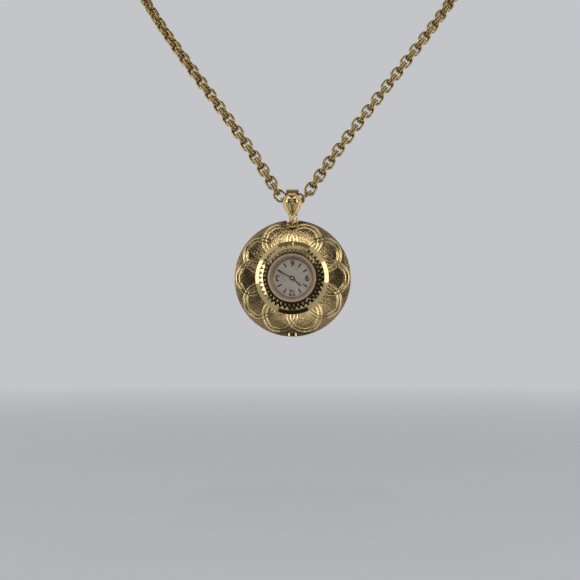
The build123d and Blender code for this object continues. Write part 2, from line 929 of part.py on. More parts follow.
def third_wheel():
    leaf_phase = mesh_phase(centre_teeth, third_turn, third_leaves, third_turn)
    wheel = train_wheel(
        third_teeth, third_module, third_level, third_leaves, centre_module,
        centre_level - 2 * wheel_thick, centre_level + wheel_thick, fourth_turn, leaf_phase,
    )
    return Pos(*third_centre()) * wheel


def fourth_wheel():
    leaf_phase = mesh_phase(third_teeth, fourth_turn, fourth_leaves, fourth_turn)
    wheel = train_wheel(
        fourth_teeth, fourth_module, fourth_level, fourth_leaves, third_module,
        third_level - wheel_thick - run_gap, train_floor - 2 * run_gap, escape_turn, leaf_phase,
    )
    return Pos(*fourth_centre()) * wheel


def escape_wheel():
    """The escape wheel's leaning teeth and its pinion."""
    outline = []
    step = 360.0 / escape_teeth
    root = escape_r - escape_hook
    for i in range(escape_teeth):
        outline.append(polar(root, i * step))
        outline += [polar(escape_r, (i + share) * step) for share in escape_lean_shares]
    low = escape_level
    wheel = Pos(0, 0, low) * extrude(make_face(Polyline(*outline, close=True)), amount=wheel_thick)
    leaf_phase = mesh_phase(fourth_teeth, escape_turn, escape_leaves, escape_turn)
    pinion_low, pinion_high = fourth_level - 2 * wheel_thick, fourth_level + wheel_thick
    wheel += toothed(escape_leaves, fourth_module, pinion_low, pinion_high, leaf_phase)
    return Pos(*escape_centre()) * (wheel + arbor(bridge_front + run_gap, train_floor - run_gap))


def barrel():
    """The toothed drum that holds the mainspring, with its lid towards the bridge."""
    flange = train_floor - barrel_flange
    teeth = toothed(barrel_teeth, barrel_module, flange, train_floor - run_gap, barrel_turn + 180.0)
    drum = teeth + post(barrel_drum_r, barrel_back, flange)
    drum -= post(barrel_drum_r - barrel_wall, barrel_back + barrel_wall, flange)
    drum -= post(barrel_arbor_r + run_gap, barrel_back - overrun, train_floor + overrun)
    return Pos(*barrel_centre()) * drum


def mainspring():
    outer = barrel_drum_r - barrel_wall - mainspring_thick
    low, high = barrel_back + barrel_wall + run_gap, train_floor - barrel_flange - run_gap
    coil = spiral_ribbon(mainspring_in, outer, mainspring_turns, mainspring_thick, low, high)
    return Pos(*barrel_centre()) * coil


def pallet_fork():
    """Two arms with their stones towards the escape wheel and a fork towards the balance."""
    ex, ey = escape_centre()
    to_escape = degrees(atan2(ey - pallet_pos[1], ex - pallet_pos[0]))
    to_balance = degrees(atan2(balance_pos[1] - pallet_pos[1], balance_pos[0] - pallet_pos[0]))
    arms = Pos(pallet_bar, 0) * Rectangle(pallet_bar, 2 * pallet_span)
    stones = [
        Pos(pallet_reach / 2 + pallet_bar, side * pallet_span) * Rectangle(pallet_reach, pallet_bar)
        for side in (-1, 1)
    ]
    head = Rot(0, 0, to_escape) * (arms + stones)
    notch = Pos(pallet_bar / 2, 0) * Circle(pallet_bar / 2)
    horn = Pos(fork_len, 0) * (Rectangle(pallet_bar, 3 * pallet_bar) - notch)
    lever = Rot(0, 0, to_balance) * (Pos(fork_len / 2, 0) * Rectangle(fork_len, pallet_bar) + horn)
    flat = extrude(head + lever + Circle(pallet_bar), amount=wheel_thick)
    low = pallet_level - wheel_thick
    staff = post(arbor_r, low, train_floor - run_gap)
    staff += post(pivot_r, low - pivot_len, train_floor + pivot_len)
    return Pos(*pallet_pos) * (Pos(0, 0, low) * flat + staff)


def balance_wheel():
    """Rim, two arms, staff and the roller with its impulse pin."""
    low, high = balance_level - wheel_thick, balance_level
    rim = tube(balance_r, balance_r - balance_rim, low, high)
    arms = block(-balance_r + balance_rim / 2, balance_r - balance_rim / 2, -spoke / 2, spoke / 2, low, high)
    hub = post(roller_r, low, high)
    roller = post(roller_r * rim_share, high, pallet_level + wheel_thick)
    body = rim + arms + hub + roller + arbor(bridge_front + run_gap, train_floor - run_gap)
    return Pos(*balance_pos) * body


def hairspring():
    low = hairspring_level
    high = low + hairspring_high
    coil = spiral_ribbon(hairspring_in, hairspring_out, hairspring_turns, hairspring_thick, low, high)
    return Pos(*balance_pos) * coil


# Plate, bridges, jewels and screws
def pivot_places():
    return [third_centre(), fourth_centre(), escape_centre(), balance_pos]


def jewel(at, low, high):
    return tube(jewel_r(), pivot_r + seat_gap, low, high, at)


def jewel_r():
    return 2 * arbor_r + seat_gap


def jewels():
    """Ruby bearings of the train and the balance, in bridge and plate."""
    rubies = [jewel(at, bridge_front - pivot_len, bridge_front) for at in pivot_places()]
    rubies += [jewel(at, train_floor, train_floor + pivot_len) for at in pivot_places() + [pallet_pos]]
    return Compound(children=[s for ruby in rubies for s in ruby.solids()])


def main_plate():
    low, high = plate_back - overrun, plate_front + overrun
    plate = post(plate_r, plate_back, plate_front)
    stem_room = pinion_start() + winding_pinion_len + run_gap
    clutch_room = pinion_start() - run_gap
    wide, narrow = winding_pinion_r + 2 * run_gap, clutch_r + 2 * run_gap
    plate -= block(-wide, wide, -stem_room, -clutch_room, low, high)
    plate -= block(-narrow, narrow, -clutch_room, keyless_slot_end, low, high)
    plate -= along_stem(stem_r + run_gap, stem_room - run_gap, plate_r + overrun)
    plate -= along_stem(stem_pivot_r + run_gap, -keyless_slot_end - pivot_len - overrun / 2, clutch_room)
    for at in pivot_places() + [pallet_pos]:
        plate -= post(jewel_r(), train_floor, train_floor + pivot_len, at)
    arbor_end = plate_back + pivot_len + seat_gap
    plate -= post(barrel_arbor_r * rim_share + run_gap, low, arbor_end, barrel_centre())
    plate -= post(arbor_r + run_gap, low, high)
    for side in (0, 180):
        at = polar(dial_foot_at, dial_foot_turn + side)
        plate -= post(dial_foot_r + seat_gap, plate_back, high, at)
    for at in all_pillars():
        plate -= post(screw_r + seat_gap, low, plate_back + screw_depth, at)
    for at in (minute_wheel_centre(), setting_wheel_centre()):
        plate += post(arbor_r, plate_front, motion_low + motion_thick, at)
    for at in (lever_pos, yoke_pos):
        plate += post(screw_r, plate_front, plate_front + 2 * seat_gap + lever_thick, at)
    return plate


def all_pillars():
    return list(train_pillars) + list(barrel_pillars) + [cock_foot]


def bridge_body(outline, pillars):
    """A bridge: its outline cut from the movement's disc, with hollow pillars down to the plate."""
    top = Pos(0, 0, bridge_back) * extrude(outline & Circle(bridge_r), amount=bridge_front - bridge_back)
    for at in pillars:
        top += post(pillar_r, bridge_front, plate_back, at)
        top -= post(screw_r + seat_gap, bridge_back - overrun, plate_back + overrun, at)
    for at in pivot_places():
        top -= post(jewel_r(), bridge_front - pivot_len, bridge_front + overrun, at)
    return top


def split_line():
    """The corner where the two big bridges part, beside the centre wheel."""
    return (-pillar_r - screw_head_r, crown_wheel_y + gear_radius(crown_wheel_teeth, winding_module))


def barrel_bridge():
    corner = split_line()
    far = bridge_r + overrun
    side = gear_radius(crown_wheel_teeth, winding_module) - 2 * screw_r
    outline = make_face(Polyline(
        (-far, far), (corner[0], far), corner, (side, corner[1]), (side, -far), (-far, -far), close=True,
    ))
    body = bridge_body(outline, barrel_pillars)
    low, high = bridge_back - overrun, bridge_front + overrun
    body -= post(skirt_r + run_gap, low, high, (0, crown_wheel_y))
    body -= post(barrel_arbor_r + run_gap, low, high, barrel_centre())
    return body + post(screw_r, winding_level, bridge_back, click_pos)


def train_bridge():
    corner = split_line()
    gap = bridge_split
    far = bridge_r + overrun
    outline = make_face(Polyline(
        (corner[0] + gap, far), (far, far), (far, cock_foot[1] + cock_foot_r + 2 * gap),
        (pallet_pos[0], pallet_pos[1] + gap * 2), (corner[0] + gap, corner[1] + gap), close=True,
    ))
    body = bridge_body(outline, train_pillars)
    return body - post(arbor_r + run_gap, bridge_back - overrun, bridge_front + overrun)


def balance_cock():
    """The arm that carries the balance's outer pivot."""
    foot = Pos(*cock_foot) * Circle(cock_foot_r)
    head = Pos(*balance_pos) * Circle(jewel_r() + 2 * screw_r)
    arm = make_hull((foot + head).edges()) & Circle(bridge_r)
    low = bridge_back
    body = Pos(0, 0, low) * extrude(arm, amount=bridge_front - bridge_back)
    body += post(cock_foot_r, bridge_front, plate_back, cock_foot)
    body -= post(screw_r + seat_gap, bridge_back - overrun, plate_back + overrun, cock_foot)
    return body - post(jewel_r(), bridge_front - pivot_len, bridge_front + overrun, balance_pos)


def bridge_screws():
    screws = []
    for at in all_pillars():
        head = post(screw_head_r, bridge_back - screw_head, bridge_back, at)
        slot_low, slot_high = bridge_back - screw_head - overrun, bridge_back - screw_head / 2
        half = screw_slot / 2
        head -= Pos(*at) * block(-pillar_r, pillar_r, -half, half, slot_low, slot_high)
        screws.append(head + post(screw_r, bridge_back, plate_back + screw_depth, at))
    return Compound(children=[s for screw in screws for s in screw.solids()])


# Motion works
def minute_wheel_centre():
    return polar(gear_radius(cannon_leaves + minute_wheel_teeth, motion_module), minute_wheel_turn)


def setting_wheel_centre():
    away = gear_radius(minute_wheel_teeth + setting_teeth, motion_module)
    return polar(away, setting_wheel_turn, minute_wheel_centre())


def cannon_pinion():
    leaves = toothed(cannon_leaves, motion_module, motion_low, motion_low + motion_thick, minute_wheel_turn)
    pipe = post(cannon_pipe_r, motion_low, minute_hand_z + hand_thick)
    return leaves + pipe - post(cannon_pipe_r - pivot_r, motion_low - overrun, dial_top + seat_gap)


def minute_wheel():
    low, high = motion_low, motion_low + motion_thick
    phase = mesh_phase(cannon_leaves, minute_wheel_turn, minute_wheel_teeth, minute_wheel_turn)
    wheel = toothed(minute_wheel_teeth, motion_module, low, high, phase)
    wheel += toothed(minute_leaves, motion_module, high, dial_bottom - 2 * run_gap, minute_wheel_turn + 180.0)
    return Pos(*minute_wheel_centre()) * (wheel - post(arbor_r + run_gap, low - overrun, dial_top))


def setting_wheel():
    low, high = motion_low, motion_low + motion_thick
    phase = mesh_phase(cannon_leaves, minute_wheel_turn, minute_wheel_teeth, minute_wheel_turn)
    own = mesh_phase(minute_wheel_teeth, phase, setting_teeth, setting_wheel_turn)
    wheel = toothed(setting_teeth, motion_module, low, high, own)
    return Pos(*setting_wheel_centre()) * (wheel - post(arbor_r + run_gap, low - overrun, high + overrun))


def hour_wheel():
    low = motion_high
    high = low + motion_thick
    phase = mesh_phase(minute_leaves, minute_wheel_turn + 180.0, hour_wheel_teeth, minute_wheel_turn + 180.0)
    wheel = toothed(hour_wheel_teeth, motion_module, low, high, phase)
    wheel += post(hour_pipe_r, low, hour_hand_z + hand_thick)
    return wheel - post(cannon_pipe_r + run_gap, low - overrun, hour_hand_z + overrun)


# Hanger, jump ring and bail
def hanger_eye():
    """The eye in the notch at the top of the case, on its post."""
    ring = Pos(0, eye_at, hang_z) * Torus(eye_r, eye_wire_r)
    foot = notch_at - notch_r - eye_post
    length = eye_at - eye_r - foot
    stem = Pos(0, eye_at - eye_r, hang_z) * Rot(90, 0, 0) * Cylinder(eye_wire_r, length, align=BASE)
    return ring + stem


def jump_ring():
    """The ring between eye and bail, its near side to the viewer's right."""
    lean = radians(jump_lean)
    centre = (jump_r * sin(lean), eye_at + jump_hang + jump_r * cos(lean), hang_z)
    return Pos(*centre) * Rot(0, 0, -jump_lean) * Rot(0, -jump_twist, 0) * Torus(jump_r, jump_wire_r)


def loop_outline(big_r, big_at, small_r, small_at):
    """A pear-shaped outline in the (z, y) plane: the hull of two circles."""
    circles = Pos(0, big_at) * Circle(big_r) + Pos(0, small_at) * Circle(small_r)
    return make_hull(circles.edges())


def bail_loop():
    """The strap of the bail, a pear-shaped loop seen from the side, narrower at its foot."""
    outer = loop_outline(bail_in_r + bail_wall, bail_axis, bail_foot_in_r + bail_wall, bail_foot_at)
    inner = loop_outline(bail_in_r, bail_axis, bail_foot_in_r, bail_foot_at)
    side = Plane(origin=(0, 0, hang_z), x_dir=(0, 0, 1), z_dir=(-1, 0, 0))
    band = extrude(side * (outer - inner), amount=bail_width / 2, both=True)
    foot = bail_foot_at - bail_foot_in_r - bail_wall
    top = bail_axis + bail_in_r + bail_wall
    half, foot_half = bail_width / 2, bail_foot_width / 2
    front = make_face(Polyline(
        (-half, top), (half, top), (half, bail_axis), (foot_half, bail_foot_at), (foot_half, foot),
        (-foot_half, foot), (-foot_half, bail_foot_at), (-half, bail_axis), close=True,
    ))
    reach = bail_in_r + bail_wall + overrun
    return band & Pos(0, 0, hang_z - reach) * extrude(front, amount=2 * reach)


def bail_slope():
    """The lean of the strap's front face and a point on it, from the tangent of its two circles."""
    rise = bail_axis - bail_foot_at
    lean = asin((bail_in_r - bail_foot_in_r) / rise)
    outer = bail_in_r + bail_wall
    return degrees(lean), (bail_axis - outer * sin(lean), hang_z + outer * cos(lean))


def drop_outline(half, top_at, top_half, tip_at, zero, inset):
    """A teardrop, flat at the top and pointed at the tip, drawn inset from its full size."""
    cheek_at = drop_wide_at + (tip_at - drop_wide_at) * drop_waist_share
    right = [
        (top_half - inset, top_at - inset - zero),
        (half - inset, drop_wide_at - zero),
        (half * drop_cheek_share - inset, cheek_at - zero),
        (0, tip_at + inset * tip_inset_share - zero),
    ]
    left = [(-x, y) for x, y in right]
    return make_face(Curve() + [Line(left[0], right[0]), Spline(*right), Spline(*left)])


def bail_plane():
    """The plane of the strap's front face: local y runs up it, local z outwards."""
    lean, at = bail_slope()
    up = (0, cos(radians(lean)), sin(radians(lean)))
    out = (0, -sin(radians(lean)), cos(radians(lean)))
    return Plane(origin=(0, at[0], at[1]), x_dir=(1, 0, 0), z_dir=out), at[0]


def bail_drop():
    """The teardrop shield on the strap's front, with a raised rim round its beads."""
    plane, zero = bail_plane()
    size = (drop_half, drop_top_at, drop_top_half, drop_tip_at, zero)
    body = extrude(drop_outline(*size, 0), amount=drop_thick)
    body -= Pos(0, 0, drop_thick - drop_sink) * extrude(drop_outline(*size, drop_rim), amount=overrun)
    return plane.location * body


def bail_dome():
    """The polished drop in the middle of the shield, stepped up in layers to a crown."""
    plane, zero = bail_plane()
    flat = dome_half * dome_flat_share
    size = (dome_half, dome_top_at, flat, dome_tip_at, zero)
    base = Pos(0, 0, drop_thick - drop_sink)
    body = base * extrude(drop_outline(*size, 0), amount=dome_high / dome_steps)
    for i in range(1, dome_steps):
        inset = dome_half * (1 - cos(asin(i / dome_steps)))
        body += base * extrude(drop_outline(*size, inset), amount=dome_high * (i + 1) / dome_steps)
    return plane.location * body


# Chain
def oval_ring(pitch):
    """One closed oval ring of the chain in the xy plane, long along x."""
    end_r = (link_width - wire) / 2
    half = (pitch + wire + link_play) / 2 - end_r
    right = CenterArc((half, 0), end_r, -90, 180)
    top = Line(right @ 1, (-half, end_r))
    left = CenterArc((-half, 0), end_r, 90, 180)
    bottom = Line(left @ 1, right @ 0)
    section = Plane(origin=right @ 0, z_dir=right % 0) * Circle(wire / 2)
    return sweep(section, path=Wire([right, top, left, bottom]))


def half_path():
    """The chain's centreline on the viewer's right, from the middle of the bail to the nape."""
    lean, turn = radians(bend_lean), radians(bend_turn)
    up = Vector(0, sin(lean), cos(lean))
    start = X * bend_start
    end = start + X * (bend_r * sin(turn)) + up * (bend_r * (1 - cos(turn)))
    first = X * cos(turn) + up * sin(turn)
    points = [
        end,
        *[Vector(*point) for point in strand_points],
        Vector(strand_half, strand_back, strand_rise),
        Vector(side_half, side_back, side_rise),
        Vector(rear_half, rear_back, rear_rise),
        Vector(0, nape_back, nape_rise),
    ]
    rest = Spline(*points, tangents=[first, -X])
    return Wire([Line((0, 0, 0), start), TangentArc(start, end, tangent=X), rest])


def station_frames():
    """(place, tangent, outward normal) of each station on the right half, and the pitch that fits."""
    path = half_path()
    run = path.length - clasp_reach
    count = 2 * round(run / link_pitch / 2) + 1
    pitch = run / (count - 1 / 2)
    frames = []
    for k in range(count):
        place = path.position_at((k + 1 / 2) * pitch, PositionMode.LENGTH)
        tangent = path.tangent_at((k + 1 / 2) * pitch, PositionMode.LENGTH)
        skin = Vector(place.X * outward_x, place.Y - nape_back / 2, 0)
        frames.append((place, tangent, (skin - tangent * skin.dot(tangent)).normalized()))
    return frames, pitch


def chain_part(side, first, last):
    """The rings of stations first to last - 1 on one side: 1 is the viewer's right, -1 the left."""
    frames, pitch = station_frames()
    ring = oval_ring(pitch)
    lift = (wire + twin_gap) / 2
    rings = []
    for k in range(first, min(last, len(frames))):
        place, tangent, out = frames[k]
        place = Vector(side * place.X, place.Y, place.Z)
        tangent = Vector(tangent.X, side * tangent.Y, side * tangent.Z)
        out = Vector(side * out.X, out.Y, out.Z)
        face_on = (k % 2 == 0) == (side > 0)
        roll = left_roll * sin(pi * k / len(frames)) if side < 0 else 0
        turn = radians(roll + (0 if face_on else 90))
        normal = out * cos(turn) + tangent.cross(out) * sin(turn)
        frame = Plane(origin=hang_point + place, x_dir=tangent, z_dir=normal).location
        lifts = [0] if k < single_rings else [lift, -lift]
        rings += [frame * (Pos(0, 0, up) * ring) for up in lifts]
    return Compound(children=[s for one in rings for s in one.solids()])


def clasp_frame():
    """The frame of the clasp: in the middle of the nape, flat to the neck, x to the viewer's right."""
    return Plane(origin=hang_point + Vector(0, nape_back, nape_rise), x_dir=X, z_dir=(0, 1, 0)).location


def clasp_body():
    """The hollow ring of the clasp with its mouth, its thumb slot and its eye."""
    start = clasp_mouth / 2
    shell = torus_part(clasp_r, clasp_tube_r, start, 360.0 - clasp_mouth) - Torus(clasp_r, clasp_bore_r)
    slot_at, slot_turn = start + gate_slot, gate_travel + gate_slot / 2
    shell -= torus_part(clasp_r + clasp_tube_r, knob_r + run_gap, slot_at, slot_turn)
    eye_x = clasp_eye_sunk - clasp_r - clasp_tube_r - clasp_eye_r
    return clasp_frame() * (shell + Pos(eye_x, 0, 0) * Torus(clasp_eye_r, clasp_eye_wire_r))


def clasp_gate():
    """The sliding tongue that closes the mouth, with its thumb knob."""
    start = -clasp_mouth / 2 - gate_reach / 4
    tongue = torus_part(clasp_r, clasp_gate_r, start, clasp_mouth + gate_reach + gate_slot)
    knob_at = clasp_mouth / 2 + gate_slot + gate_slot / 4
    stub = Cylinder(knob_r, clasp_tube_r + knob_len, align=BASE)
    return clasp_frame() * (tongue + Rot(0, 0, knob_at) * Pos(clasp_r, 0, 0) * Rot(0, 90, 0) * stub)


def clasp_spring():
    """The gate's spring, drawn as the plain bundle that it is when the gate is open."""
    return clasp_frame() * torus_part(clasp_r, clasp_spring_r, clasp_spring_start, clasp_spring_turn)


def end_ring():
    """The ring on the other end of the chain, in the clasp's mouth."""
    away = clasp_r + end_ring_r - end_ring_wire_r - clasp_tube_r - run_gap
    return clasp_frame() * (Pos(away, 0, 0) * Rot(90, 0, 0) * Torus(end_ring_r, end_ring_wire_r))


# Assembly
hang_point = Vector(0, nape_bear - nape_back, -nape_rise)


def place_watch(shape):
    """From the watch's own frame to the hanging place."""
    return Pos(0, hang_point.Y + hang_z, hang_point.Z - bail_axis) * Rot(90, 0, 0) * shape


watch_pieces = {
    "case_front": case_front,
    "case_back": case_back,
    "case_tube": case_tube,
    "bezel_ring": bezel_ring,
    "crystal": crystal,
    "dial_ring": dial_ring,
    "movement_holder": movement_holder,
    "dial": dial,
    "dial_marks": dial_marks,
    "hour_hand": hour_hand,
    "minute_hand": minute_hand,
    "crown": crown,
    "winding_stem": winding_stem,
    "winding_pinion": winding_pinion,
    "sliding_pinion": sliding_pinion,
    "crown_wheel": crown_wheel,
    "crown_wheel_stud": crown_wheel_stud,
    "crown_wheel_screw": crown_wheel_screw,
    "ratchet_wheel": ratchet_wheel,
    "click": click,
    "setting_lever": setting_lever,
    "yoke": yoke,
    "setting_wheel": setting_wheel,
    "barrel": barrel,
    "barrel_arbor": barrel_arbor,
    "mainspring": mainspring,
    "centre_wheel": centre_wheel,
    "third_wheel": third_wheel,
    "fourth_wheel": fourth_wheel,
    "escape_wheel": escape_wheel,
    "pallet_fork": pallet_fork,
    "balance_wheel": balance_wheel,
    "hairspring": hairspring,
    "balance_cock": balance_cock,
    "main_plate": main_plate,
    "barrel_bridge": barrel_bridge,
    "train_bridge": train_bridge,
    "bridge_screws": bridge_screws,
    "jewels": jewels,
    "cannon_pinion": cannon_pinion,
    "minute_wheel": minute_wheel,
    "hour_wheel": hour_wheel,
    "hanger_eye": hanger_eye,
    "jump_ring": jump_ring,
    "bail_loop": bail_loop,
    "bail_drop": bail_drop,
    "bail_dome": bail_dome,
}

all_stations = len(station_frames()[0])

os.makedirs("parts", exist_ok=True)
for name, make in watch_pieces.items():
    export_step(place_watch(make()), f"parts/{name}.step")
export_step(clasp_body(), "parts/clasp_body.step")
export_step(clasp_gate(), "parts/clasp_gate.step")
export_step(clasp_spring(), "parts/clasp_spring.step")
export_step(end_ring(), "parts/end_ring.step")
for side, word in ((1, "right"), (-1, "left")):
    export_step(chain_part(side, 0, front_stations), f"parts/chain_front_{word}.step")
    export_step(chain_part(side, front_stations, all_stations), f"parts/chain_back_{word}.step")
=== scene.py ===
import json
from math import asin, cos, hypot, pi, radians, sin, sqrt

import bmesh
import bpy
import numpy as np
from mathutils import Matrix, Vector


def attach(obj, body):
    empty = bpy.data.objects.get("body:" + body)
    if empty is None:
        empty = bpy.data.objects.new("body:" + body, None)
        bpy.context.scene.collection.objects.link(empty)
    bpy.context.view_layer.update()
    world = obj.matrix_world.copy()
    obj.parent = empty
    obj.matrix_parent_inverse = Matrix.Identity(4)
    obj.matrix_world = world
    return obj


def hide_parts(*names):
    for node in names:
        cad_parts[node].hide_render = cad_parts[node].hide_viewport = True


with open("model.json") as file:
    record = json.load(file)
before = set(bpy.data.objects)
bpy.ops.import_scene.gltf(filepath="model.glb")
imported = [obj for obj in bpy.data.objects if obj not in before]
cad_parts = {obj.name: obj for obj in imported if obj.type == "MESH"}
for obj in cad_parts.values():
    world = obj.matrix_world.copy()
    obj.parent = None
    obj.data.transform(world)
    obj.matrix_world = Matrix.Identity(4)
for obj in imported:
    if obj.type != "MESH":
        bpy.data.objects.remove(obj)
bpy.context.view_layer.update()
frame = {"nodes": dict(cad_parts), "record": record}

MM = 0.001

# The watch's own frame, in millimetres: x to the viewer's right, y to the bail, z to the viewer
HANG_Y, HANG_Z = -120.4, -119.0
BAIL_AXIS, HANG_DEPTH = 22.1, -0.9


def row(points):
    """Points of the watch's frame, in millimetres, as row-frame metres."""
    p = np.asarray(points, float).reshape(-1, 3)
    return np.stack([p[:, 0], HANG_Y + HANG_DEPTH - p[:, 2], HANG_Z - BAIL_AXIS + p[:, 1]], 1) * MM


def watch(points):
    """Row-frame metres as points of the watch's frame, in millimetres."""
    p = np.asarray(points, float).reshape(-1, 3) / MM
    return np.stack([p[:, 0], p[:, 2] - HANG_Z + BAIL_AXIS, HANG_Y + HANG_DEPTH - p[:, 1]], 1)


# Materials. MIDDLE is the span of a noise that becomes the whole span of a polish
MIDDLE = (0.3, 0.7)
RIDGE_GOLD, RIDGE_ROUGH = (0.88, 0.70, 0.36), 0.09
FIELD_GOLD, FIELD_ROUGH = ((0.26, 0.18, 0.075), (0.84, 0.64, 0.34)), (0.2, 0.28)
HATCH_SCALE, HATCH_TURNS, HATCH_WAVER = 2.2, (0.5, -0.62), 2.2
TONE_BY_HATCH, TONE_BY_SPECK, TONE_SPAN = 0.5, 0.8, (0.35, 0.85)
WORN_BY_SPECK, WORN_BY_MOTTLE, WORN_BY_GRAIN, WORN_BY_HATCH, WORN_LEVEL = 0.6, 1.3, 0.1, 0.05, 1.0
WORN_STRENGTH, WORN_DEPTH = 0.9, 0.055


def new_material(name):
    mat = bpy.data.materials.new(name)
    mat.use_nodes = True
    tree = mat.node_tree
    return mat, tree, tree.nodes["Principled BSDF"]


def add(tree, kind, **values):
    node = tree.nodes.new(kind)
    for key, value in values.items():
        setattr(node, key, value)
    return node


def coords(tree, scale):
    """The piece's own place, in units of 1 mm times scale, a number or a triple."""
    place = add(tree, "ShaderNodeTexCoord")
    mapping = add(tree, "ShaderNodeMapping")
    triple = scale if isinstance(scale, tuple) else (scale, scale, scale)
    mapping.inputs["Scale"].default_value = [v / MM for v in triple]
    tree.links.new(place.outputs["Object"], mapping.inputs["Vector"])
    return mapping.outputs["Vector"]


def noise(tree, scale, detail=2.0, rough=0.5, distortion=0.0):
    node = add(tree, "ShaderNodeTexNoise")
    node.inputs["Scale"].default_value = 1.0
    node.inputs["Detail"].default_value = detail
    node.inputs["Roughness"].default_value = rough
    node.inputs["Distortion"].default_value = distortion
    tree.links.new(coords(tree, scale), node.inputs["Vector"])
    return node.outputs["Fac"]


def ramp(tree, source, low, high, out_low, out_high):
    node = add(tree, "ShaderNodeMapRange")
    for key, value in (("From Min", low), ("From Max", high), ("To Min", out_low), ("To Max", out_high)):
        node.inputs[key].default_value = value
    tree.links.new(source, node.inputs["Value"])
    return node.outputs["Result"]


def math(tree, operation, a, b=None, c=None, clamp=False):
    node = add(tree, "ShaderNodeMath", operation=operation, use_clamp=clamp)
    for socket, value in zip(node.inputs, (a, b, c)):
        if value is None:
            continue
        if isinstance(value, (int, float)):
            socket.default_value = value
        else:
            tree.links.new(value, socket)
    return node.outputs["Value"]


def tint(tree, factor, dark, light):
    """A colour between two by a factor."""
    node = add(tree, "ShaderNodeMix", data_type="RGBA")
    tree.links.new(factor, node.inputs["Factor"])
    node.inputs["A"].default_value = (*dark, 1)
    node.inputs["B"].default_value = (*light, 1)
    return node.outputs["Result"]


def bump(tree, shader, height, strength, distance):
    node = add(tree, "ShaderNodeBump")
    node.inputs["Strength"].default_value = strength
    node.inputs["Distance"].default_value = distance * MM
    tree.links.new(height, node.inputs["Height"])
    previous = shader.inputs["Normal"].links
    if previous:
        tree.links.new(previous[0].from_socket, node.inputs["Normal"])
    tree.links.new(node.outputs["Normal"], shader.inputs["Normal"])


def metal(name, dark, light, rough, spread=0.06, grain=3.0, grain_strength=0.1, scratch=0.0, metallic=1.0):
    """A metal with a slightly uneven colour, uneven polish and hairline scratches."""
    mat, tree, shader = new_material(name)
    shader.inputs["Metallic"].default_value = metallic
    tree.links.new(tint(tree, noise(tree, 0.9, 3.0, 0.6), dark, light), shader.inputs["Base Color"])
    patches = noise(tree, 2.2, 4.0, 0.65)
    polish = ramp(tree, patches, *MIDDLE, max(rough - spread, 0.02), rough + spread)
    tree.links.new(polish, shader.inputs["Roughness"])
    bump(tree, shader, noise(tree, grain, 3.0, 0.6), grain_strength, 0.02)
    if scratch:
        lines = ramp(tree, noise(tree, (26.0, 1.1, 1.1), 2.0, 0.5, 0.6), 0.52, 0.6, 0, 1)
        bump(tree, shader, lines, scratch, 0.004)
    return mat


gold = metal(
    "gold_polished", (0.66, 0.48, 0.22), (0.82, 0.64, 0.33), 0.1,
    spread=0.05, grain_strength=0.08, scratch=0.1,
)
# The chain's gold is the polished gold made darker: painted shade, standing in for the shade the chain
# hangs in
chain_gold_painted_shade = metal(
    "chain_gold_painted_shade", (0.42, 0.30, 0.12), (0.62, 0.47, 0.22), 0.16, grain_strength=0.2, scratch=0.1
)
gold_back = metal(
    "gold_brushed", (0.70, 0.52, 0.23), (0.85, 0.68, 0.36), 0.3,
    spread=0.07, grain=(18.0, 2.0, 1.0), grain_strength=0.35, scratch=0.3,
)
brown_gold = metal("edge_gold", (0.34, 0.2, 0.07), (0.5, 0.32, 0.13), 0.25, grain=9.0)
rosy = metal(
    "reflector", (0.40, 0.30, 0.21), (0.56, 0.45, 0.34), 0.3, spread=0.05, grain=6.0, metallic=0.4
)
brass = metal(
    "wheel_brass", (0.62, 0.46, 0.18), (0.80, 0.63, 0.30), 0.25,
    grain=(12.0, 2.0, 12.0), grain_strength=0.25,
)
nickel = metal("nickel", (0.55, 0.53, 0.49), (0.72, 0.70, 0.66), 0.3, grain=9.0, grain_strength=0.25)
steel = metal("steel", (0.42, 0.43, 0.45), (0.62, 0.63, 0.65), 0.2, scratch=0.1)
gasket = metal(
    "gasket_brown", (0.03, 0.02, 0.012), (0.06, 0.04, 0.025), 0.4,
    spread=0.1, grain=8.0, grain_strength=0.2, metallic=0.0,
)


